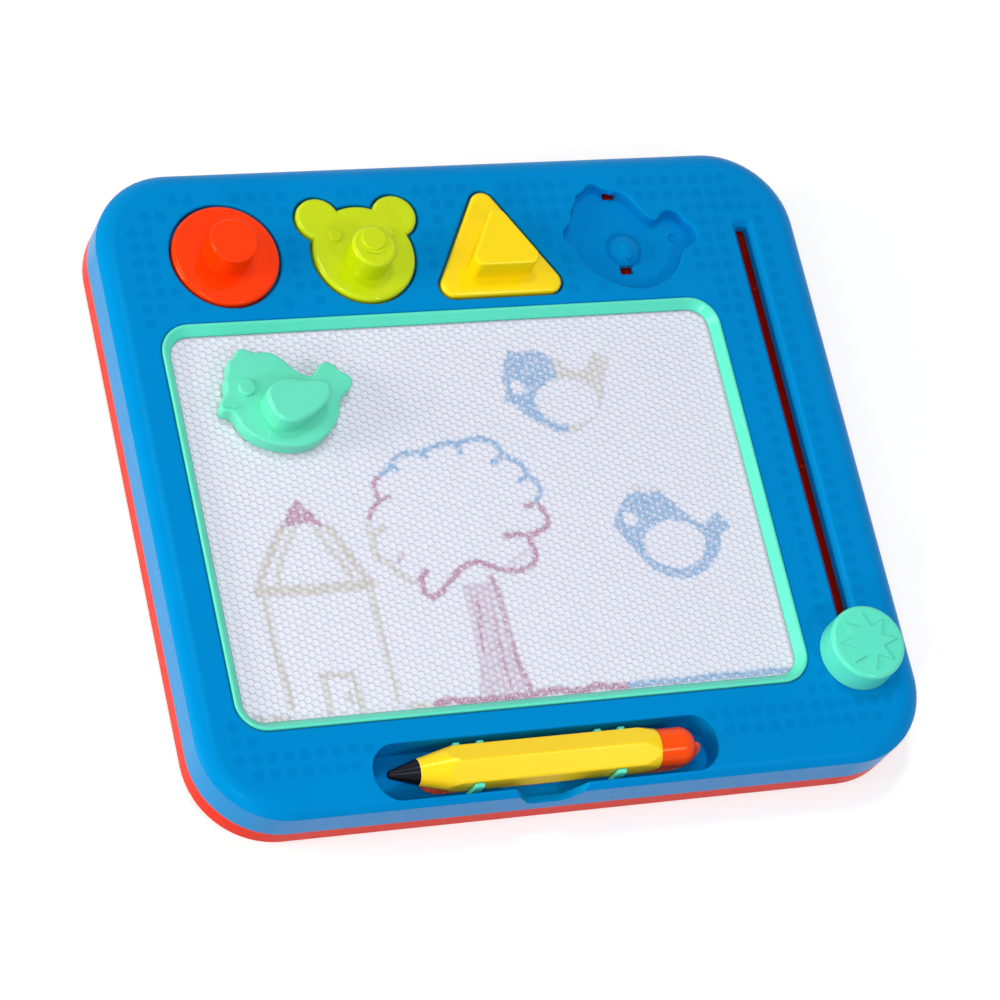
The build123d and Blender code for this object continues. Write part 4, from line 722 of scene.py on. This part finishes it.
def deck_is_whole(x, y, cover, frame):
    """True where the deck is flat and bare under a whole dot."""
    down = Vector((0.0, 0.0, -1.0))
    for k in range(DOT_TESTS):
        angle = 2 * math.pi / DOT_TESTS * k
        reach = DOT_RADIUS + DOT_MARGIN
        place = Vector((x + reach * math.cos(angle), y + reach * math.sin(angle), 2 * DECK_LEVEL)) * MM
        hit, spot, _, _ = cover.ray_cast(place, down)
        if not hit or abs(spot.z - DECK_LEVEL * MM) > DECK_FLATNESS * MM or frame.ray_cast(place, down)[0]:
            return False
    return True


def deck_dots(material, cover, frame):
    """The deck's round dimples, each a shallow dish with a soft rim, where the deck is flat and whole."""
    points, faces = [], []
    for row in range(DOT_ROWS):
        for column in range(DOT_COLUMNS):
            x = DOT_START_X + column * DOT_PITCH_X
            y = DOT_START_Y + row * DOT_PITCH_Y
            if not inside_round_box(
                x, y, -DECK_HALF_LENGTH, DECK_HALF_LENGTH, -DECK_HALF_DEPTH, DECK_HALF_DEPTH, DECK_CORNER
            ):
                continue
            if not deck_is_whole(x, y, cover, frame):
                continue
            first = len(points)
            for share, rise in DOT_PROFILE:
                for k in range(DOT_EDGES):
                    angle = 2 * math.pi * k / DOT_EDGES
                    reach = DOT_RADIUS * share
                    across, along = reach * math.cos(angle), reach * math.sin(angle)
                    points.append((x + across, y + along, DECK_LEVEL + rise))
            points.append((x, y, DECK_LEVEL + DOT_MIDDLE))
            middle = len(points) - 1
            last = join_rings(faces, first, len(DOT_PROFILE), DOT_EDGES)
            faces.extend((last + k, last + (k + 1) % DOT_EDGES, middle) for k in range(DOT_EDGES))
    return new_mesh("deck_dots", points, faces, material)


# Cord


def route_line():
    """Points along the cord's smooth line, read from its NURBS spline."""
    data = bpy.data.curves.new("cord_line", "CURVE")
    data.dimensions = "3D"
    data.resolution_u = SPLINE_STEPS
    spline = data.splines.new("NURBS")
    spline.points.add(len(CORD_ROUTE) - 1)
    for point, (x, y, z) in zip(spline.points, CORD_ROUTE):
        point.co = (x * MM, y * MM, z * MM, 1.0)
    spline.order_u = 3
    spline.use_endpoint_u = True
    line = bpy.data.objects.new("cord_line", data)
    bpy.context.scene.collection.objects.link(line)
    mesh = bpy.data.meshes.new_from_object(line)
    points = [v.co.copy() for v in mesh.vertices]
    bpy.data.objects.remove(line)
    return points


def even_steps(points, step):
    """The line again, in even steps."""
    lengths = [0.0]
    for a, b in zip(points, points[1:]):
        lengths.append(lengths[-1] + (b - a).length)
    count = max(2, round(lengths[-1] / step))
    line = []
    place = 0
    for k in range(count + 1):
        at = lengths[-1] * k / count
        while place < len(lengths) - 2 and lengths[place + 1] < at:
            place += 1
        span = lengths[place + 1] - lengths[place]
        share = (at - lengths[place]) / span if span else 0.0
        line.append(points[place].lerp(points[place + 1], share))
    return line


def frames_along(line):
    """A side and an up direction at each point, carried along without twist."""
    frames = []
    side = Vector((0.0, 1.0, 0.0))
    for k, point in enumerate(line):
        ahead = line[min(k + 1, len(line) - 1)] - line[max(k - 1, 0)]
        ahead.normalize()
        side = (side - ahead * side.dot(ahead)).normalized()
        frames.append((point, side, ahead.cross(side)))
    return frames


def add_tube(points, faces, centres, frames, radius, edges):
    """A closed tube of small rings round the given centres."""
    first = len(points)
    for centre, (_, side, up) in zip(centres, frames):
        for k in range(edges):
            angle = 2 * math.pi * k / edges
            points.append(centre + (side * math.cos(angle) + up * math.sin(angle)) * radius)
    last = join_rings(faces, first, len(centres), edges)
    faces.append(tuple(first + k for k in reversed(range(edges))))
    faces.append(tuple(last + k for k in range(edges)))


def pen_cord(material):
    """The braided cord: a core, and strands that wind both ways and pass over and under each other."""
    line = even_steps(route_line(), BRAID_STEP * MM)
    frames = frames_along(line)
    points, faces = [], []
    add_tube(points, faces, line, frames, CORD_CORE_RADIUS * MM, CORE_EDGES)
    for strand in range(STRANDS):
        way = 1 if strand % 2 else -1
        start = 2 * math.pi * (strand // 2) / (STRANDS / 2)
        centres = []
        for k, (point, side, up) in enumerate(frames):
            turn = way * 2 * math.pi * k * BRAID_STEP / BRAID_PITCH
            angle = start + turn
            weave = STRAND_WEAVE * way * math.cos(STRANDS * turn / 2)
            reach = (STRAND_LAY + weave) * MM
            centres.append(point + (side * math.cos(angle) + up * math.sin(angle)) * reach)
        add_tube(points, faces, centres, frames, STRAND_RADIUS * MM, STRAND_EDGES)
    cord = new_mesh("pen_cord", [p / MM for p in points], faces, material)
    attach(cord, "board")
    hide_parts("pen_tether")


# Stage


def make_camera():
    """The camera at the photograph's place."""
    data = bpy.data.cameras.new("camera")
    data.sensor_fit = "HORIZONTAL"
    data.sensor_width = CAMERA_SENSOR
    data.lens = CAMERA_LENS
    data.clip_start, data.clip_end = CAMERA_CLIP
    camera = bpy.data.objects.new("camera", data)
    turn = Matrix((CAMERA_RIGHT, CAMERA_UP, CAMERA_BACK)).transposed().to_4x4()
    camera.matrix_world = Matrix.Translation(Vector(CAMERA_PLACE) * MM) @ turn
    bpy.context.scene.collection.objects.link(camera)
    bpy.context.scene.camera = camera


def area_lamp(name, place, size, power, colour):
    """A square soft lamp that looks at the board."""
    data = bpy.data.lights.new(name, "AREA")
    data.color = colour
    data.shape = "SQUARE"
    data.size = size
    data.energy = power
    lamp = bpy.data.objects.new(name, data)
    lamp.location = place
    lamp.rotation_mode = "QUATERNION"
    lamp.rotation_quaternion = (-Vector(place)).to_track_quat("-Z", "Y")
    bpy.context.scene.collection.objects.link(lamp)


def seen_directly(nodes, links, path):
    """1 for camera, glossy and transmission rays, else 0."""
    value = path.outputs["Is Camera Ray"]
    for kind in ("Is Glossy Ray", "Is Transmission Ray"):
        either = nodes.new("ShaderNodeMath")
        either.operation = "MAXIMUM"
        links.new(value, either.inputs[0])
        links.new(path.outputs[kind], either.inputs[1])
        value = either.outputs["Value"]
    return value


def make_world():
    """Even soft light all round, plain white for the camera, for reflections and for what shows through."""
    world = bpy.data.worlds.new("world")
    bpy.context.scene.world = world
    world.use_nodes = True
    nodes = world.node_tree.nodes
    links = world.node_tree.links
    nodes.clear()
    output = nodes.new("ShaderNodeOutputWorld")
    mix = nodes.new("ShaderNodeMixShader")
    path = nodes.new("ShaderNodeLightPath")
    soft = nodes.new("ShaderNodeBackground")
    white = nodes.new("ShaderNodeBackground")
    soft.inputs["Color"].default_value = WORLD_COLOUR
    soft.inputs["Strength"].default_value = WORLD_STRENGTH
    white.inputs["Color"].default_value = (1.0, 1.0, 1.0, 1.0)
    white.inputs["Strength"].default_value = 1.0
    links.new(seen_directly(nodes, links, path), mix.inputs["Fac"])
    links.new(soft.outputs["Background"], mix.inputs[1])
    links.new(white.outputs["Background"], mix.inputs[2])
    links.new(mix.outputs["Shader"], output.inputs["Surface"])


def floor_material():
    """Plain pale floor that keeps the shadow and comes out white for the camera."""
    material = bpy.data.materials.new("floor")
    material.use_nodes = True
    nodes = material.node_tree.nodes
    links = material.node_tree.links
    nodes.clear()
    output = nodes.new("ShaderNodeOutputMaterial")
    plain = nodes.new("ShaderNodeBsdfDiffuse")
    plain.inputs["Color"].default_value = (FLOOR_SHADE, FLOOR_SHADE, FLOOR_SHADE, 1.0)
    glow = nodes.new("ShaderNodeEmission")
    path = nodes.new("ShaderNodeLightPath")
    scaled = nodes.new("ShaderNodeMath")
    scaled.operation = "MULTIPLY"
    scaled.inputs[1].default_value = FLOOR_GLOW
    links.new(seen_directly(nodes, links, path), scaled.inputs[0])
    links.new(scaled.outputs["Value"], glow.inputs["Strength"])
    both = nodes.new("ShaderNodeAddShader")
    links.new(plain.outputs["BSDF"], both.inputs[0])
    links.new(glow.outputs["Emission"], both.inputs[1])
    links.new(both.outputs["Shader"], output.inputs["Surface"])
    return material


def make_floor():
    """The floor, wide, and open under the board, whose underside can so be seen and lit."""
    half_x, half_y, turn = FLOOR_OPENING
    inner, outer = [], []
    for corner, (side_x, side_y) in enumerate(((1, 1), (-1, 1), (-1, -1), (1, -1))):
        for step in range(FLOOR_CORNER_STEPS + 1):
            angle = (corner + step / FLOOR_CORNER_STEPS) * math.pi / 2
            inner.append((side_x * (half_x - turn) + turn * math.cos(angle),
                          side_y * (half_y - turn) + turn * math.sin(angle), FLOOR_LEVEL))
            outer.append((side_x * FLOOR_REACH, side_y * FLOOR_REACH, FLOOR_LEVEL))
    count = len(inner)
    faces = [(k, (k + 1) % count, count + (k + 1) % count, count + k) for k in range(count)]
    floor = new_mesh("floor", outer + inner, faces, floor_material(), smooth=False)


def make_stage():
    """Floor, world and lamps."""
    make_floor()
    make_world()
    for lamp in LAMPS:
        area_lamp(*lamp)


def main():
    """Builds the scene."""
    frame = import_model()
    bpy.context.scene.view_settings.view_transform = "Standard"
    make_camera()
    make_stage()
    nodes = frame["nodes"]
    braid = braid_material()
    plastics = dress_nodes(nodes, braid)
    pen_cord(braid)
    cells, walls = cell_rings()
    for piece in (fluid_cells(cells, ink_sheet()), honeycomb_walls(walls, cell_wall())):
        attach(piece, "board")
        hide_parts("screen_honeycomb")
    dots = deck_dots(plastics["dot_plastic"], nodes["front_cover"], nodes["screen_frame"])
    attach(dots, "board")


main()
